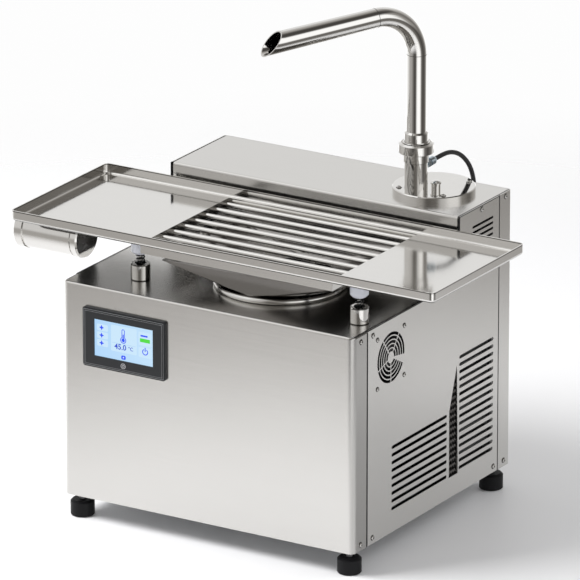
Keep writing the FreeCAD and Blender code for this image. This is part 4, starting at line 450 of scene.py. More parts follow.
def steel(name, colour, roughness, squeeze, streak_depth=0.02, cloud_depth=0.02, bump=0.004, shade=0.02,
          painted_shade_side=None, shaded_flank=None, shadow_bands=None):
    """Metal whose roughness and shade follow the grain.

    Faces that look one given way get a dark colour of painted shade, as where light hardly reaches, and faces
    that look a second way get a darker tint of painted shade. Bands are heights where a dark line of painted
    shade lies on upright faces.
    """
    material, tree, shader = new_material(name, colour, metallic=1.0, roughness=roughness)
    grain = add_node(tree, "ShaderNodeGroup", node_tree=GRAIN)
    grain.inputs["Squeeze"].default_value = squeeze
    tree.links.new(object_place(tree), grain.inputs["Place"])
    streaks, clouds = grain.outputs
    rough = math_node(tree, "MULTIPLY_ADD", streaks, 2 * streak_depth, roughness - streak_depth - cloud_depth)
    rough = math_node(tree, "MULTIPLY_ADD", clouds, 2 * cloud_depth, rough, clamp=True)
    tree.links.new(rough, shader.inputs["Roughness"])
    dark = tuple(c * (1 - shade) for c in colour)
    light = tuple(min(1.0, c * (1 + shade)) for c in colour)
    tint = ramp_node(tree, streaks, [(0.3, dark), (0.7, light)])
    # painted shade: faces that look the given way take a dark colour, as if no light reached them
    if painted_shade_side:
        tint = paint_shade_on_faces(tree, tint, painted_shade_side, PAINTED_SHADE_DARK)
    # painted shade: a dark line in each band of heights, as the shadow along an edge
    if shadow_bands:
        tint = paint_shadow_bands(tree, tint, shadow_bands, PAINTED_EDGE_SHADOW)
    # painted shade: faces that look the second way take a darker tint of the steel
    if shaded_flank:
        tint = paint_shade_on_faces(tree, tint, shaded_flank, tuple(c * PAINTED_FLANK_SHADE for c in colour))
    tree.links.new(tint, shader.inputs["Base Color"])
    if bump:
        add_relief(tree, shader, streaks, bump, GRAIN_DEPTH)
    return material


# Some steels carry painted shade: the insides of the front and right sheets and the table's underside are
# dark, the front's faces towards +X are darker, and dark lines run under the table's top edge and round the
# cups.
WARM_STEEL = (0.62, 0.61, 0.59)
BRIGHT_STEEL = (0.70, 0.69, 0.67)
# name, colour, roughness and grain of each metal
SHEET_FRONT = steel("sheet steel of the front", WARM_STEEL, 0.24, ALONG_X, cloud_depth=0.03,
                    painted_shade_side=(0, 1, 0), shaded_flank=(1, 0, 0))
SHEET_X = steel("sheet steel brushed along x", WARM_STEEL, 0.22, ALONG_X, cloud_depth=0.03)
SHEET_Y = steel("sheet steel brushed along y", WARM_STEEL, 0.24, ALONG_Y, cloud_depth=0.03)
SHEET_RIGHT = steel("sheet steel of the right side", WARM_STEEL, 0.24, ALONG_Y, cloud_depth=0.03,
                    painted_shade_side=(-1, 0, 0))
TABLE_TOP, CUP_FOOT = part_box("table_pan")[1][2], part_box("support_cups")[0][2]
# the table: painted shade on its underside and a dark line of painted shadow just under its top edge
TABLE = steel("sheet steel of the table", BRIGHT_STEEL, 0.10, ALONG_X, painted_shade_side=(0, 0, -1),
              shadow_bands=[(TABLE_TOP - 1.7 * MM, TABLE_TOP - 0.6 * MM)])
# the cups: dark lines of painted shade at their foot, where they meet the deck, and near their top
CUP = steel("turned cup steel", BRIGHT_STEEL, 0.10, ROUND_Z,
            shadow_bands=[(CUP_FOOT - 1 * MM, CUP_FOOT + 1.4 * MM), (CUP_FOOT + 21.6 * MM, CUP_FOOT + 23 * MM)])
PIPE = steel("turned pipe steel", BRIGHT_STEEL, 0.07, ROUND_Z)
ROD = steel("drawn rod steel", BRIGHT_STEEL, 0.10, ALONG_X, bump=0)
BOWL = steel("polished bowl steel", BRIGHT_STEEL, 0.10, ROUND_Z)
CASE = steel("turned motor steel", BRIGHT_STEEL, 0.10, ROUND_X)
ZINC = steel("zinc plated steel", (0.35, 0.355, 0.36), 0.42, ALONG_Z, streak_depth=0.05)
GLAND = steel("blue zinc of the glands", (0.50, 0.58, 0.64), 0.28, ALONG_Z, bump=0)
SCREW = steel("screw steel", (0.50, 0.49, 0.47), 0.22, ALONG_Z, bump=0)
WELD = steel("weld line", (0.16, 0.155, 0.15), 0.35, ALONG_Z, bump=0)
# the funnel's steel is dark as painted shade, for the shade under the grate
FUNNEL_IN_PAINTED_SHADE = steel("funnel steel darkened as painted shade", (0.24, 0.23, 0.22), 0.16, ALONG_X, streak_depth=0.03)
CAST = steel("cast aluminium", (0.30, 0.305, 0.31), 0.45, (300, 300, 300), streak_depth=0.05)

# %% [markdown]
# ## Plastics, rubber and paint
# A moulded or painted surface is a single colour with a fine texture in its gloss. The same noise drives
# the roughness and a slight bump, at a scale that suits the tool that made it.

# %% Plain finishes
TEXTURE_DEPTH = 0.3 * MM
SCREEN_LIGHT = 0.92


def speckled(name, colour, roughness, scale=900.0, depth=0.05, bump=0.1, **extra):
    """Moulded or painted surface with a fine texture in it."""
    material, tree, shader = new_material(name, colour, roughness=roughness, **extra)
    noise = noise_node(tree, object_place(tree), scale, 2.0)
    rough = math_node(tree, "MULTIPLY_ADD", noise, 2 * depth, roughness - depth)
    tree.links.new(rough, shader.inputs["Roughness"])
    add_relief(tree, shader, noise, bump, TEXTURE_DEPTH)
    return material


RUBBER_AND_PAINTED_SHADE = speckled("foot rubber", (0.005, 0.005, 0.006), 0.55, scale=500, bump=0.05, Specular_IOR_Level=0.2)
BLACK_PLASTIC = speckled("black plastic", (0.02, 0.02, 0.022), 0.4)
BEZEL = speckled("bezel plastic", (0.016, 0.017, 0.019), 0.42, Specular_IOR_Level=0.35)
WHITE_PLASTIC = speckled("white plastic", (0.90, 0.92, 1.0), 0.3, bump=0.05)
DARK_PAINT = speckled("dark grey paint", (0.06, 0.065, 0.07), 0.4)
GREY_PAINT = speckled("grey powder coat", (0.30, 0.31, 0.32), 0.5, scale=1500)
GLOSS_PAINT = speckled("black gloss paint", (0.015, 0.015, 0.016), 0.2, bump=0.03)
SPRING = speckled("black spring wire", (0.012, 0.012, 0.013), 0.3, Metallic=0.6)
TRIM = speckled("frame line", (0.20, 0.205, 0.21), 0.3, bump=0.02)
TRIM_PALE = speckled("touch key ring", (0.45, 0.45, 0.46), 0.35, bump=0.02)
BRAID = speckled("lead sleeve", (0.012, 0.012, 0.013), 0.45, scale=1800, bump=0.3)
MESH = speckled("dark expanded steel", (0.10, 0.095, 0.09), 0.35, Metallic=0.8)


def make_display():
    """Lit glass: pale blue, a little brighter towards its right."""
    material, tree, shader = new_material("display glass", (0.02, 0.02, 0.03), roughness=0.12,
                                          Emission_Strength=SCREEN_LIGHT)
    low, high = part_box("touch_display")
    slope = step_node(tree, split_node(tree, object_place(tree))["X"], low[0], high[0])
    tree.links.new(ramp_node(tree, slope, [(0.0, (0.44, 0.70, 0.98)), (1.0, (0.55, 0.78, 0.98))]),
                   shader.inputs["Emission Color"])
    return material


def lit(name, colour):
    """A patch of the picture on the display."""
    return new_material(name, (0.02, 0.02, 0.02), roughness=0.2, Emission_Color=(*colour, 1),
                        Emission_Strength=SCREEN_LIGHT)[0]


DISPLAY = make_display()

# %% [markdown]
# ## Finish of each solid
# Most solids keep their shape, and only their material slot changes. The table below is the whole finish
# of the machine at a glance: a maker would call it the finishing schedule.

# %% Finishes
FINISHES = {
    "front_shell": SHEET_FRONT, "tower_cover": SHEET_X, "rear_panel": SHEET_X, "base_plate": ZINC,
    "right_side_panel": SHEET_RIGHT, "left_side_panel": SHEET_Y, "vent_mesh": MESH, "corner_posts": ZINC,
    "panel_screws": SCREW, "rubber_feet": RUBBER_AND_PAINTED_SHADE, "foot_bolts": ZINC, "touch_bezel": BEZEL,
    "touch_display": DISPLAY, "touch_module": BLACK_PLASTIC, "fan_frame": BLACK_PLASTIC,
    "fan_rotor": BLACK_PLASTIC, "fan_screws": SCREW, "tank": BOWL, "heating_jacket": ZINC,
    "transfer_duct": PIPE, "funnel": FUNNEL_IN_PAINTED_SHADE, "shaft_seal": RUBBER_AND_PAINTED_SHADE, "agitator_gearmotor": DARK_PAINT,
    "agitator_shaft": BOWL, "agitator_arm": BOWL, "scraper_blades": WHITE_PLASTIC,
    "pump_gearmotor": DARK_PAINT, "pump_barrel": PIPE, "auger": BOWL, "pump_head": PIPE,
    "flange_disc": PIPE, "flange_screws": SCREW, "bleed_plug": BOWL, "riser": PIPE, "union_nut": PIPE,
    "spout": PIPE, "table_pan": TABLE, "grate_rods": ROD, "support_cups": CUP, "table_springs": SPRING,
    "spring_bushings": WHITE_PLASTIC, "table_studs": SCREW, "vibrator_case": CASE,
    "vibrator_left_cap": CASE, "vibrator_right_cap": CASE, "vibrator_rotor": ZINC,
    "eccentric_weights": ZINC, "vibrator_shoe": CAST, "riser_gland": GLAND, "rear_gland": GLAND,
    "heater_lead": BRAID, "mains_inlet": BLACK_PLASTIC, "compressor": GLOSS_PAINT, "condenser": CAST,
    "control_box": GREY_PAINT,
}
for node, material in FINISHES.items():
    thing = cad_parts[node]
    thing.data.materials.clear()
    thing.data.materials.append(material)
lead.data.materials.append(BRAID)
print(len(FINISHES), "solids finished of", len(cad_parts))

# %% [markdown]
# ## Mesh helpers
# The pieces below are placed from the solids themselves. One helper walks over a solid's mesh and gives
# the box of each separate lump in it, so that a node with sixteen screws gives sixteen places. Others skin
# rings of points, add blocks, and turn a finished mesh into a piece that rides on a body.

# %% Mesh helpers
SAME_PLACE = 1e-6
BLOCK_FACES = ((0, 1, 3, 2), (4, 6, 7, 5), (0, 4, 5, 1), (2, 3, 7, 6), (0, 2, 6, 4), (1, 5, 7, 3))


def lumps(node):
    """Boxes of the separate lumps in a node, as (low corner, high corner)."""
    shape = bmesh.new()
    shape.from_mesh(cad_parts[node].data)
    bmesh.ops.remove_doubles(shape, verts=shape.verts, dist=SAME_PLACE)
    left = set(shape.verts)
    boxes = []
    while left:
        todo, found = [left.pop()], []
        while todo:
            vert = todo.pop()
            found.append(vert.co.copy())
            for edge in vert.link_edges:
                other = edge.other_vert(vert)
                if other in left:
                    left.remove(other)
                    todo.append(other)
        boxes.append((Vector(map(min, zip(*found))), Vector(map(max, zip(*found)))))
    shape.free()
    return sorted(boxes, key=lambda box: tuple(round(v, 4) for v in box[0]))


def finish_piece(name, mesh, material, body, slot, *nodes, angle=40):
    """Give a mesh its finish, and make it a piece that rides on a body."""
    mesh.materials.clear()
    mesh.materials.append(material)
    mesh.shade_smooth()
    mesh.set_sharp_from_angle(angle=math.radians(angle))
    piece = add_thing(name, mesh)
    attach(piece, body)
    if nodes:
        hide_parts(*nodes)
    print(name, "has", len(mesh.polygons), "faces")
    return piece


def mesh_of(shape, name):
    """Close a bmesh into mesh data, with its faces outward."""
    bmesh.ops.recalc_face_normals(shape, faces=shape.faces)
    mesh = bpy.data.meshes.new(name)
    shape.to_mesh(mesh)
    shape.free()
    return mesh


def ring_of(shape, radius, height, count=24, squash=None):
    """A ring of points round Z; squash gives the radius another shape over the turn."""
    ring = []
    for n in range(count):
        turn = 2 * math.pi * n / count
        reach = radius * (squash(turn) if squash else 1.0)
        ring.append(shape.verts.new((reach * math.cos(turn), reach * math.sin(turn), height)))
    return ring


def skin(shape, rings, closed=False):
    """Faces from each ring to the next, and from the last to the first if closed."""
    for low, high in zip(rings, rings[1:] + rings[:closed]):
        for n in range(len(low)):
            after = (n + 1) % len(low)
            shape.faces.new((low[n], low[after], high[after], high[n]))


def stack_rings(shape, rings):
    """Skin the rings, and close the first and the last."""
    skin(shape, rings)
    shape.faces.new(rings[0])
    shape.faces.new(rings[-1])


def block_faces(shape, corners):
    for face in BLOCK_FACES:
        shape.faces.new([corners[n] for n in face])


def add_block(shape, low, high):
    """A closed box between two corners."""
    block_faces(shape, [shape.verts.new((x, y, z)) for x in (low[0], high[0])
                        for y in (low[1], high[1]) for z in (low[2], high[2])])


# %% [markdown]
# ## Screw heads
# A pan-head screw is seen as a small dome with a dark socket and a thin shadow round it. Heads of
# one size are one shape, so it is modelled once and Geometry Nodes set it on every place: the lumps of
# the screw nodes, and each head gets its own turn about its axis, as screws have when they're driven in.
# The nodes are run once and only their plain mesh is kept, so that nothing live is left on the piece.

# %% Screw head
# rings of a head from its seat upwards, as parts of its radius and of its rise
HEAD_PROFILE = ((0.96, 0), (1, 0.12), (1, 0.34), (0.93, 0.62), (0.78, 0.85), (0.58, 0.98))
SOCKET, SOCKET_FLOOR, SOCKET_DEPTH = 0.46, 0.96, 0.3


def hexagon(turn):
    """Reach of a hexagon's side over the turn, with 1 at its corners."""
    part = math.radians(60)
    return math.cos(part / 2) / math.cos(turn % part - part / 2)


def screw_head(radius, rise):
    """A domed head with a hexagon socket, its seat at the origin."""
    shape = bmesh.new()
    socket = radius * SOCKET
    rings = [ring_of(shape, radius * out, rise * up) for out, up in HEAD_PROFILE]
    rings += [ring_of(shape, socket, rise, squash=hexagon),
              ring_of(shape, socket * SOCKET_FLOOR, rise * SOCKET_DEPTH, squash=hexagon)]
    stack_rings(shape, rings)
    return mesh_of(shape, "screw head")


def copy_on_points(tree, points, source):
    """Copies of the source's shape on the points."""
    shape = add_node(tree, "GeometryNodeObjectInfo")
    tree.links.new(source, shape.inputs["Object"])
    copies = add_node(tree, "GeometryNodeInstanceOnPoints")
    tree.links.new(points, copies.inputs["Points"])
    tree.links.new(shape.outputs["Geometry"], copies.inputs["Instance"])
    return copies


def make_real(tree, copies, finish):
    """The copies as real geometry with a finish, handed out of the tree."""
    real = add_node(tree, "GeometryNodeRealizeInstances")
    tree.links.new(copies.outputs[0], real.inputs[0])
    coat = add_node(tree, "GeometryNodeSetMaterial")
    tree.links.new(real.outputs[0], coat.inputs["Geometry"])
    tree.links.new(finish, coat.inputs["Material"])
    tree.links.new(coat.outputs[0], add_node(tree, "NodeGroupOutput").inputs[0])


def head_tree():
    """Nodes that set a head on every point, each with its own turn."""
    tree = bpy.data.node_groups.new("heads on points", "GeometryNodeTree")
    add_sockets(tree, "INPUT", Points="Geometry", Head="Object", Tilt="Vector", Finish="Material")
    add_sockets(tree, "OUTPUT", Heads="Geometry")
    start = add_node(tree, "NodeGroupInput").outputs
    copies = copy_on_points(tree, start["Points"], start["Head"])
    tree.links.new(start["Tilt"], copies.inputs["Rotation"])
    chance = add_node(tree, "FunctionNodeRandomValue", data_type="FLOAT")
    chance.inputs["Max"].default_value = math.radians(60)
    chance.inputs["Seed"].default_value = 7
    spin = add_node(tree, "ShaderNodeCombineXYZ")
    tree.links.new(chance.outputs[1], spin.inputs["Z"])
    turned = add_node(tree, "GeometryNodeRotateInstances")
    tree.links.new(copies.outputs[0], turned.inputs["Instances"])
    tree.links.new(spin.outputs[0], turned.inputs["Rotation"])
    make_real(tree, turned, start["Finish"])
    return tree


HEAD_TREE = head_tree()


def grow(mesh, tree, **values):
    """Run a node tree on a mesh and give back the plain mesh that it makes."""
    seed = add_thing("seed", mesh)
    live = seed.modifiers.new("grow", "NODES")
    live.node_group = tree
    named = {item.name: item.identifier for item in tree.interface.items_tree if item.in_out == "INPUT"}
    for name, value in values.items():
        live[named[name]] = value
    bpy.context.view_layer.update()
    grown = bpy.data.meshes.new_from_object(seed.evaluated_get(bpy.context.evaluated_depsgraph_get()))
    seed.modifiers.remove(live)
    bpy.data.objects.remove(seed)
    return grown


def set_at(places, shape, tilt, finish):
    """Copies of one shape that look one way."""
    head = add_thing("head", shape)
    points = bpy.data.meshes.new("places")
    points.from_pydata(places, [], [])
    grown = grow(points, HEAD_TREE, Head=head, Tilt=tilt, Finish=finish)
    bpy.data.objects.remove(head)
    return grown


def joined(meshes):
    """Several meshes as one."""
    shape = bmesh.new()
    for mesh in meshes:
        shape.from_mesh(mesh)
    return mesh_of(shape, "joined")


SCREW_REACH = 20 * MM
SHADOW_RING_PROFILE = ((1.25, 0.02), (1.25, 0.12), (0.9, 0.16))


def side_places(node):
    """Where a node's screws meet the left and the right side, as (tilt, places)."""
    found = []
    for side in (-1, 1):
        face = CENTRE + side * HALF_WIDTH
        places = [(face, (low.y + high.y) / 2, (low.z + high.z) / 2) for low, high in lumps(node)
                  if abs((low.x + high.x) / 2 - face) < SCREW_REACH]
        if places:
            found.append(((0, math.radians(90 * side), 0), places))
    return found


def shadow_ring_shape(radius):
    """A flat black ring of painted shadow round the foot of a head."""
    shape = bmesh.new()
    stack_rings(shape, [ring_of(shape, radius * out, up * MM) for out, up in SHADOW_RING_PROFILE])
    return mesh_of(shape, "shadow ring")


shell_low, shell_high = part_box("front_shell")
CENTRE = (shell_low[0] + shell_high[0]) / 2
HALF_WIDTH = (shell_high[0] - shell_low[0]) / 2
disc_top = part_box("flange_disc")[1][2]
flange_places = [(*((low + high) / 2).xy, disc_top) for low, high in lumps("flange_screws")]
# node: where its screws sit, their radius and how far the heads stand up
SCREWS = {"panel_screws": (side_places("panel_screws"), 3.3 * MM, 2.1 * MM),
          "fan_screws": (side_places("fan_screws"), 3.0 * MM, 2.0 * MM),
          "flange_screws": ([((0, 0, 0), flange_places)], 3.4 * MM, 2.3 * MM)}
shadow_rings = []
for node, (groups, radius, rise) in SCREWS.items():
    heads = [set_at(places, screw_head(radius, rise), tilt, SCREW) for tilt, places in groups]
    # each head also gets a flat black ring of painted shadow round its foot
    shadow_rings += [set_at(places, shadow_ring_shape(radius), tilt, RUBBER_AND_PAINTED_SHADE) for tilt, places in groups]
    finish_piece(node.replace("screws", "screw_heads"), joined(heads), SCREW, "cabinet", "screw_steel",
                 node, angle=30)
finish_piece("screw_washers", joined(shadow_rings), RUBBER_AND_PAINTED_SHADE, "cabinet", "black_rubber", angle=30)

# %% [markdown]
# ## Seams
# Where one sheet ends and the next begins, the gap is dark all the way down with shade. A thin black strip
# set into each gap paints that shade, and that strip is what the eye reads as the edge of a door or a cover.

# %% Seams
SEAM = 2.6 * MM


def make_seam_shadow_strips():
    """Black strips of painted shade in the seams down the sides, along the deck's edges and up the tower's
    front edges.
    """
    tower_low, tower_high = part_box("tower_cover")
    panel_low, panel_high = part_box("right_side_panel")
    base, deck, top = panel_low[2], shell_high[2], tower_high[2]
    front, back, step = panel_low[1] - SEAM / 2, panel_high[1] - 0.2 * MM, tower_low[1] - SEAM / 2
    # each strip: from and to, along the machine and up
    strips = [(front, front + SEAM, base, deck - 3 * MM), (back, back + SEAM * 0.8, base, top - 1 * MM),
              (front, step, deck - 1.5 * MM, deck - 0.1 * MM), (step, step + SEAM, deck, top - 1 * MM),
              (step, back, top - 1.3 * MM, top - 0.1 * MM)]
    shape = bmesh.new()
    for side in (-1, 1):
        face = CENTRE + side * HALF_WIDTH
        inside, outside = sorted((face - side * 0.9 * MM, face + side * 0.10 * MM))
        for y0, y1, z0, z1 in strips:
            add_block(shape, (inside, y0, z0), (outside, y1, z1))
    return mesh_of(shape, "seam shadow strips")


finish_piece("seam_strips", make_seam_shadow_strips(), RUBBER_AND_PAINTED_SHADE, "cabinet", "black_rubber")

# %% [markdown]
# ## Expanded metal
# The insert in the upright window is expanded metal: a sheet slit and stretched into diamonds. Its shape
# follows a rule, so Geometry Nodes lay one small diamond of four strands on a grid of points and make the
# whole field real. The strands lean a little, which is what makes expanded metal glitter in rows.

# %% Expanded metal
DIAMOND = (5.6 * MM, 9.0 * MM)
STRAND = 1.3 * MM
STRAND_DEPTH = 0.35 * MM
INSERT_EDGE = 1.6 * MM


def diamond_cell():
    """One diamond in the YZ plane, centred on the origin."""
    wide, tall = DIAMOND[0] / 2, DIAMOND[1] / 2
    tips = [(wide, 0), (0, tall), (-wide, 0), (0, -tall)]
    shape = bmesh.new()
    for (y0, z0), (y1, z1) in zip(tips, tips[1:] + tips[:1]):
        along = Vector((0, y1 - y0, z1 - z0)).normalized()
        across = Vector((0, -along.z, along.y)) * STRAND / 2
        lean = Vector((math.copysign(STRAND_DEPTH, along.y * along.z), 0, 0))
        ends = [Vector((0, y0, z0)), Vector((0, y1, z1))]
        corners = [shape.verts.new(end + side * (across + lean) + Vector((thick, 0, 0)))
                   for end in ends for side in (-1, 1) for thick in (0, STRAND_DEPTH)]
        block_faces(shape, corners)
    return mesh_of(shape, "diamond")


def lattice_tree():
    """Nodes that lay a cell on a grid in the YZ plane."""
    tree = bpy.data.node_groups.new("cells on a grid", "GeometryNodeTree")
    add_sockets(tree, "INPUT", Cell="Object", Width="Float", Height="Float", Columns="Int", Rows="Int",
                Middle="Vector", Finish="Material")
    add_sockets(tree, "OUTPUT", Field="Geometry")
    start = add_node(tree, "NodeGroupInput").outputs
    grid = add_node(tree, "GeometryNodeMeshGrid")
    for source, socket in (("Width", "Size X"), ("Height", "Size Y"), ("Columns", "Vertices X"),
                           ("Rows", "Vertices Y")):
        tree.links.new(start[source], grid.inputs[socket])
    upright = add_node(tree, "GeometryNodeTransform")
    upright.inputs["Rotation"].default_value = (math.radians(90), 0, math.radians(90))
    tree.links.new(grid.outputs["Mesh"], upright.inputs["Geometry"])
    tree.links.new(start["Middle"], upright.inputs["Translation"])
    make_real(tree, copy_on_points(tree, upright.outputs[0], start["Cell"]), start["Finish"])
    return tree


def make_mesh_insert():
    """The field of diamonds, with a strip down each side."""
    low, high = (Vector(corner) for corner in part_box("vent_mesh"))
    columns = int((high.y - low.y - 2 * STRAND) / DIAMOND[0])
    rows = int((high.z - low.z - 2 * STRAND) / DIAMOND[1])
    cell = add_thing("cell", diamond_cell())
    middle = ((low.x + high.x) / 2 - 0.2 * MM, (low.y + high.y) / 2, (low.z + high.z) / 2)
    field = grow(bpy.data.meshes.new("start"), lattice_tree(), Cell=cell, Width=(columns - 1) * DIAMOND[0],
                 Height=(rows - 1) * DIAMOND[1], Columns=columns, Rows=rows, Middle=middle, Finish=MESH)
    bpy.data.objects.remove(cell)
    shape = bmesh.new()
    shape.from_mesh(field)
    for y in (low.y, high.y - INSERT_EDGE):
        add_block(shape, (low.x + 0.1 * MM, y, low.z), (high.x - 0.1 * MM, y + INSERT_EDGE, high.z))
    print("expanded metal of", columns, "by", rows, "diamonds")
    return mesh_of(shape, "expanded metal")


finish_piece("vent_expanded_metal", make_mesh_insert(), MESH, "cabinet", "mesh_steel", "vent_mesh", angle=20)

# %% [markdown]
# ## Weld seams of the elbow
# The spout is three lengths of pipe: an upright, a bent elbow and a straight outlet. They're welded end to
# end and ground flush, which leaves a fine dark line at each end of the elbow. A thin ring that stands a
# tenth of a millimetre proud is enough, turned to lie across the pipe.

# %% Weld seams
riser_low, riser_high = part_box("riser")
PIPE_RADIUS = 14.0 * MM
RISER_AXIS = Vector(((riser_low[0] + riser_high[0]) / 2, (riser_low[1] + riser_high[1]) / 2, 0))
BEND_RADIUS, BEND_START = 62 * MM, 651 * MM
BEND_TURN, HEADING = math.radians(94), math.radians(241)


def seam_ring(place, axis, radius, height=0.55 * MM, wide=0.8 * MM, count=48):
    """A thin band round an axis."""
    shape = bmesh.new()
    turn = axis.to_track_quat("Z", "Y").to_matrix().to_4x4()
    inner, side = radius - height, wide / 2
    profile = ((inner, -side), (radius, -side), (radius + 0.05 * MM, 0), (radius, side), (inner, side))
    skin(shape, [ring_of(shape, reach, level, count) for reach, level in profile], closed=True)
    shape.transform(Matrix.Translation(place) @ turn)
    return mesh_of(shape, "ring")


level = Vector((math.cos(HEADING), math.sin(HEADING), 0))
up = Vector((0, 0, 1))
bend_centre = RISER_AXIS + up * BEND_START + level * BEND_RADIUS
bend_end = bend_centre + (up * math.sin(BEND_TURN) - level * math.cos(BEND_TURN)) * BEND_RADIUS
outlet_axis = level * math.sin(BEND_TURN) + up * math.cos(BEND_TURN)
WELD_RADIUS = PIPE_RADIUS + 0.08 * MM
welds = [seam_ring(RISER_AXIS + up * BEND_START, up, WELD_RADIUS),
         seam_ring(bend_end, outlet_axis, WELD_RADIUS)]
finish_piece("elbow_weld_seams", joined(welds), WELD, "spout", "satin_steel", angle=60)

# %% [markdown]
# ## Picture on the display
# A touch display shows a page of controls. It is drawn here as very thin plates in front of the glass, one
# mesh for each colour: pale cards behind, blue signs, a green bar and the reading of the temperature. All
# places are parts of the display's width and height, so the page would follow a larger display.

# %% Display picture
glass_low, glass_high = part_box("touch_display")
GLASS_WIDTH, GLASS_HEIGHT = glass_high[0] - glass_low[0], glass_high[2] - glass_low[2]
LAYER = 0.05 * MM


def on_glass(u, v, layer):
    """Point of the display at parts u from the left and v from the top, on a layer of the picture."""
    return Vector((glass_low[0] + u * GLASS_WIDTH, glass_low[1] - layer * LAYER,
                   glass_high[2] - v * GLASS_HEIGHT))


def plate(shape, outline, layer):
    """A thin closed plate from an outline of (u, v) corners."""
    stack_rings(shape, [[shape.verts.new(on_glass(u, v, depth)) for u, v in outline]
                        for depth in (layer, layer - 0.9)])


def rounded(u0, v0, u1, v1, radius=2.0 * MM, steps=5):
    """Outline of a card with rounded corners."""
    wide, tall = radius / GLASS_WIDTH, radius / GLASS_HEIGHT
    outline = []
    for u, v, start in ((u1 - wide, v1 - tall, 0), (u0 + wide, v1 - tall, 90), (u0 + wide, v0 + tall, 180),
                        (u1 - wide, v0 + tall, 270)):
        for step in range(steps + 1):
            turn = math.radians(start + 90 * step / steps)
            outline.append((u + wide * math.cos(turn), v + tall * math.sin(turn)))
    return outline


def around_point(u, v, reach, count=24, start=0.0, sweep=360.0):
    """Points on a circle, or a part of one, round (u, v); reach is a length or a function of the turn."""
    points = []
    for n in range(count):
        turn = math.radians(start + sweep * n / (count if sweep == 360.0 else count - 1))
        radius = reach(turn) if callable(reach) else reach
        points.append((u + radius * math.cos(turn) / GLASS_WIDTH, v + radius * math.sin(turn) / GLASS_HEIGHT))
    return points


def arc_band(u, v, outer, inner, start, sweep, count=24):
    """Outline of a part of a ring."""
    rim, core = (around_point(u, v, reach, count, start, sweep) for reach in (outer, inner))
    return rim + core[::-1]


def star(turn):
    """Reach of a four-pointed star."""
    return 4.1 * MM * (1 - 0.55 * abs(math.sin(2 * turn)) ** 0.7)


def picture(name, outlines, colour, layer):
    """One colour of the picture."""
    shape = bmesh.new()
    for outline in outlines:
        plate(shape, outline, layer)
    return finish_piece(name, mesh_of(shape, name), lit("lit " + name, colour), "cabinet", "display_glass")


POWER = (0.862, 0.64)
BULB = (0.489, 0.44)
STARS = (0.21, 0.42, 0.63)
BLUE, DEEP_BLUE, GREEN = (0.0, 0.06, 0.95), (0.0, 0.05, 0.62), (0.05, 0.72, 0.02)
CARDS = [rounded(0.04, v - 0.09, 0.23, v + 0.09) for v in STARS]
CARDS += [rounded(0.28, 0.07, 0.72, 0.78), rounded(0.75, 0.11, 0.97, 0.47), rounded(0.75, 0.53, 0.97, 0.80)]
RULES = [rounded(0.30, 0.545, 0.70, 0.553, 0.1 * MM)]
# three stars, the power sign, the thermometer with its fill, glass and sides, and two small bars
SIGNS = [around_point(0.12, v, star, 48) for v in STARS]
SIGNS += [arc_band(*POWER, 4.8 * MM, 3.4 * MM, -60, 300), rounded(0.854, 0.52, 0.870, 0.63, 0.3 * MM)]
SIGNS += [around_point(*BULB, 2.6 * MM), rounded(0.480, 0.28, 0.498, 0.44, 0.8 * MM),
          arc_band(0.489, 0.19, 2.6 * MM, 1.5 * MM, 180, 180, 12),
          arc_band(*BULB, 4.8 * MM, 3.6 * MM, -58, 296)]
SIGNS += [rounded(u, 0.185, u + 0.0115, 0.375, 0.2 * MM) for u in (0.4619, 0.5046)]
SIGNS += [rounded(0.454, 0.855, 0.530, 0.965, 2.0 * MM), rounded(0.785, 0.19, 0.905, 0.235, 0.3 * MM)]
picture("display_cards", CARDS, (0.60, 0.82, 1.0), 1)
picture("display_rules", RULES, (0.35, 0.60, 0.92), 2)
picture("display_signs", SIGNS, BLUE, 3)
picture("display_bar", [rounded(0.775, 0.285, 0.945, 0.385, 0.6 * MM)], GREEN, 3)
picture("display_dots", [around_point(0.491, 0.91, 1.1 * MM)], (0.70, 0.87, 1.0), 4)


def make_reading():
    """The temperature, as text turned into a mesh before it is put in its place."""
    text = bpy.data.curves.new("reading", "FONT")
    text.body = "45.0"
    text.size = 11.2 * MM
    text.offset = 0.22 * MM
    text.align_x, text.align_y = "CENTER", "CENTER"
    text.extrude = LAYER
    text.resolution_u = 3
    unit = text.copy()
    unit.body = "\u00b0C"
    unit.size = 7.6 * MM
    unit.offset = 0.08 * MM
    meshes = []
    for curve, u in ((text, 0.44), (unit, 0.615)):
        thing = add_thing("reading", curve)
        bpy.context.view_layer.update()
        mesh = bpy.data.meshes.new_from_object(thing)
        bpy.data.objects.remove(thing)
        mesh.transform(Matrix.Translation(on_glass(u, 0.645, 3)) @ Matrix.Rotation(math.radians(90), 4, "X"))
        meshes.append(mesh)
    return joined(meshes)


finish_piece("display_reading", make_reading(), lit("lit reading", DEEP_BLUE), "cabinet", "display_glass")

# %% [markdown]
# ## Trim of the display's frame
# The frame is moulded in steps, and the edge of each step catches the light as a fine line. Below the
# glass sits a small round touch key, which is only two pale rings, one in the other.

# %% Frame trim
frame_low, frame_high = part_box("touch_bezel")
LINE = 0.45 * MM


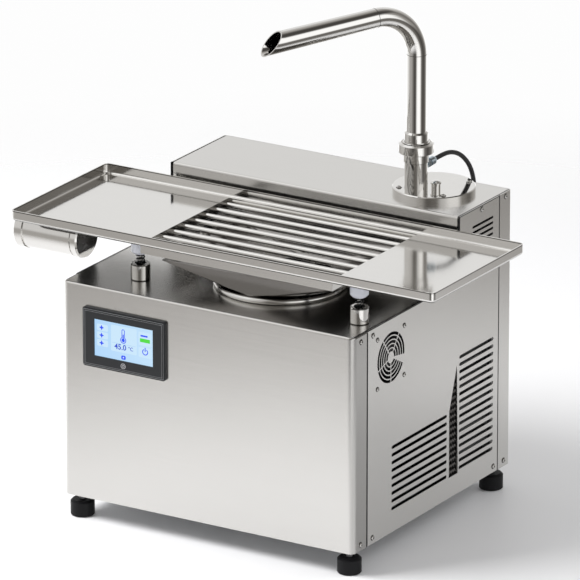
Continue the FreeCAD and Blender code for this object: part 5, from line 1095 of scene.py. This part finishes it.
def frame_line(shape, inset):
    """A fine raised line round the frame, at an inset from its edge."""
    x0, x1 = frame_low[0] + inset, frame_high[0] - inset
    z0, z1 = frame_low[2] + inset, frame_high[2] - inset
    y0, y1 = frame_low[1] - 0.04 * MM, frame_low[1] + 0.4 * MM
    for low, high in (((x0, z0), (x1, z0 + LINE)), ((x0, z1 - LINE), (x1, z1)),
                      ((x0, z0 + LINE), (x0 + LINE, z1 - LINE)), ((x1 - LINE, z0 + LINE), (x1, z1 - LINE))):
        add_block(shape, (low[0], y0, low[1]), (high[0], y1, high[1]))


trim = bmesh.new()
for inset in (2.4 * MM, 4.6 * MM):
    frame_line(trim, inset)
finish_piece("bezel_lines", mesh_of(trim, "frame lines"), TRIM, "cabinet", "bezel_plastic")
key_place = Vector((glass_low[0] + 0.495 * GLASS_WIDTH, frame_low[1] + 0.02 * MM, glass_low[2] - 7.3 * MM))
# radius and height of the key's outer and inner ring
KEY_RINGS = ((3.9 * MM, 0.7 * MM), (1.9 * MM, 0.6 * MM))
key = [seam_ring(key_place, Vector((0, -1, 0)), radius, height, 0.2 * MM) for radius, height in KEY_RINGS]
finish_piece("touch_key_ring", joined(key), TRIM_PALE, "cabinet", "bezel_plastic")

# %% [markdown]
# ## Funnel under the grate
# The funnel is a thin tapered sheet. The solid has its walls and its mouth; its skin is taken from the
# solid, drawn in at the low left corner as the hand-folded sheet is. Its steel is given a dark colour all
# over: painted shade, for the shade under the grate.

# %% Funnel
# how far from its left end the funnel is drawn in, and how much there, sideways and down
DRAWN, DRAW_IN, DRAW_DOWN = 62 * MM, 20 * MM, 6 * MM


def make_funnel():
    """The funnel's walls, drawn in at the left."""
    low, high = (Vector(corner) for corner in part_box("funnel"))
    shape = bmesh.new()
    shape.from_mesh(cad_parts["funnel"].data)
    bmesh.ops.remove_doubles(shape, verts=shape.verts, dist=SAME_PLACE)
    for vert in shape.verts:
        part = min(1.0, max(0.0, (low.x + DRAWN - vert.co.x) / DRAWN))
        rise = (vert.co.z - low.z) / (high.z - low.z)
        vert.co.x += DRAW_IN * part
        vert.co.z -= DRAW_DOWN * part * rise
    mesh = bpy.data.meshes.new("funnel skin")
    shape.to_mesh(mesh)
    shape.free()
    return mesh


finish_piece("funnel_skin", make_funnel(), FUNNEL_IN_PAINTED_SHADE, "cabinet", "satin_steel", "funnel", angle=30)

# %% [markdown]
# ## Last look
# The view layer is brought up to date once more.

bpy.context.view_layer.update()
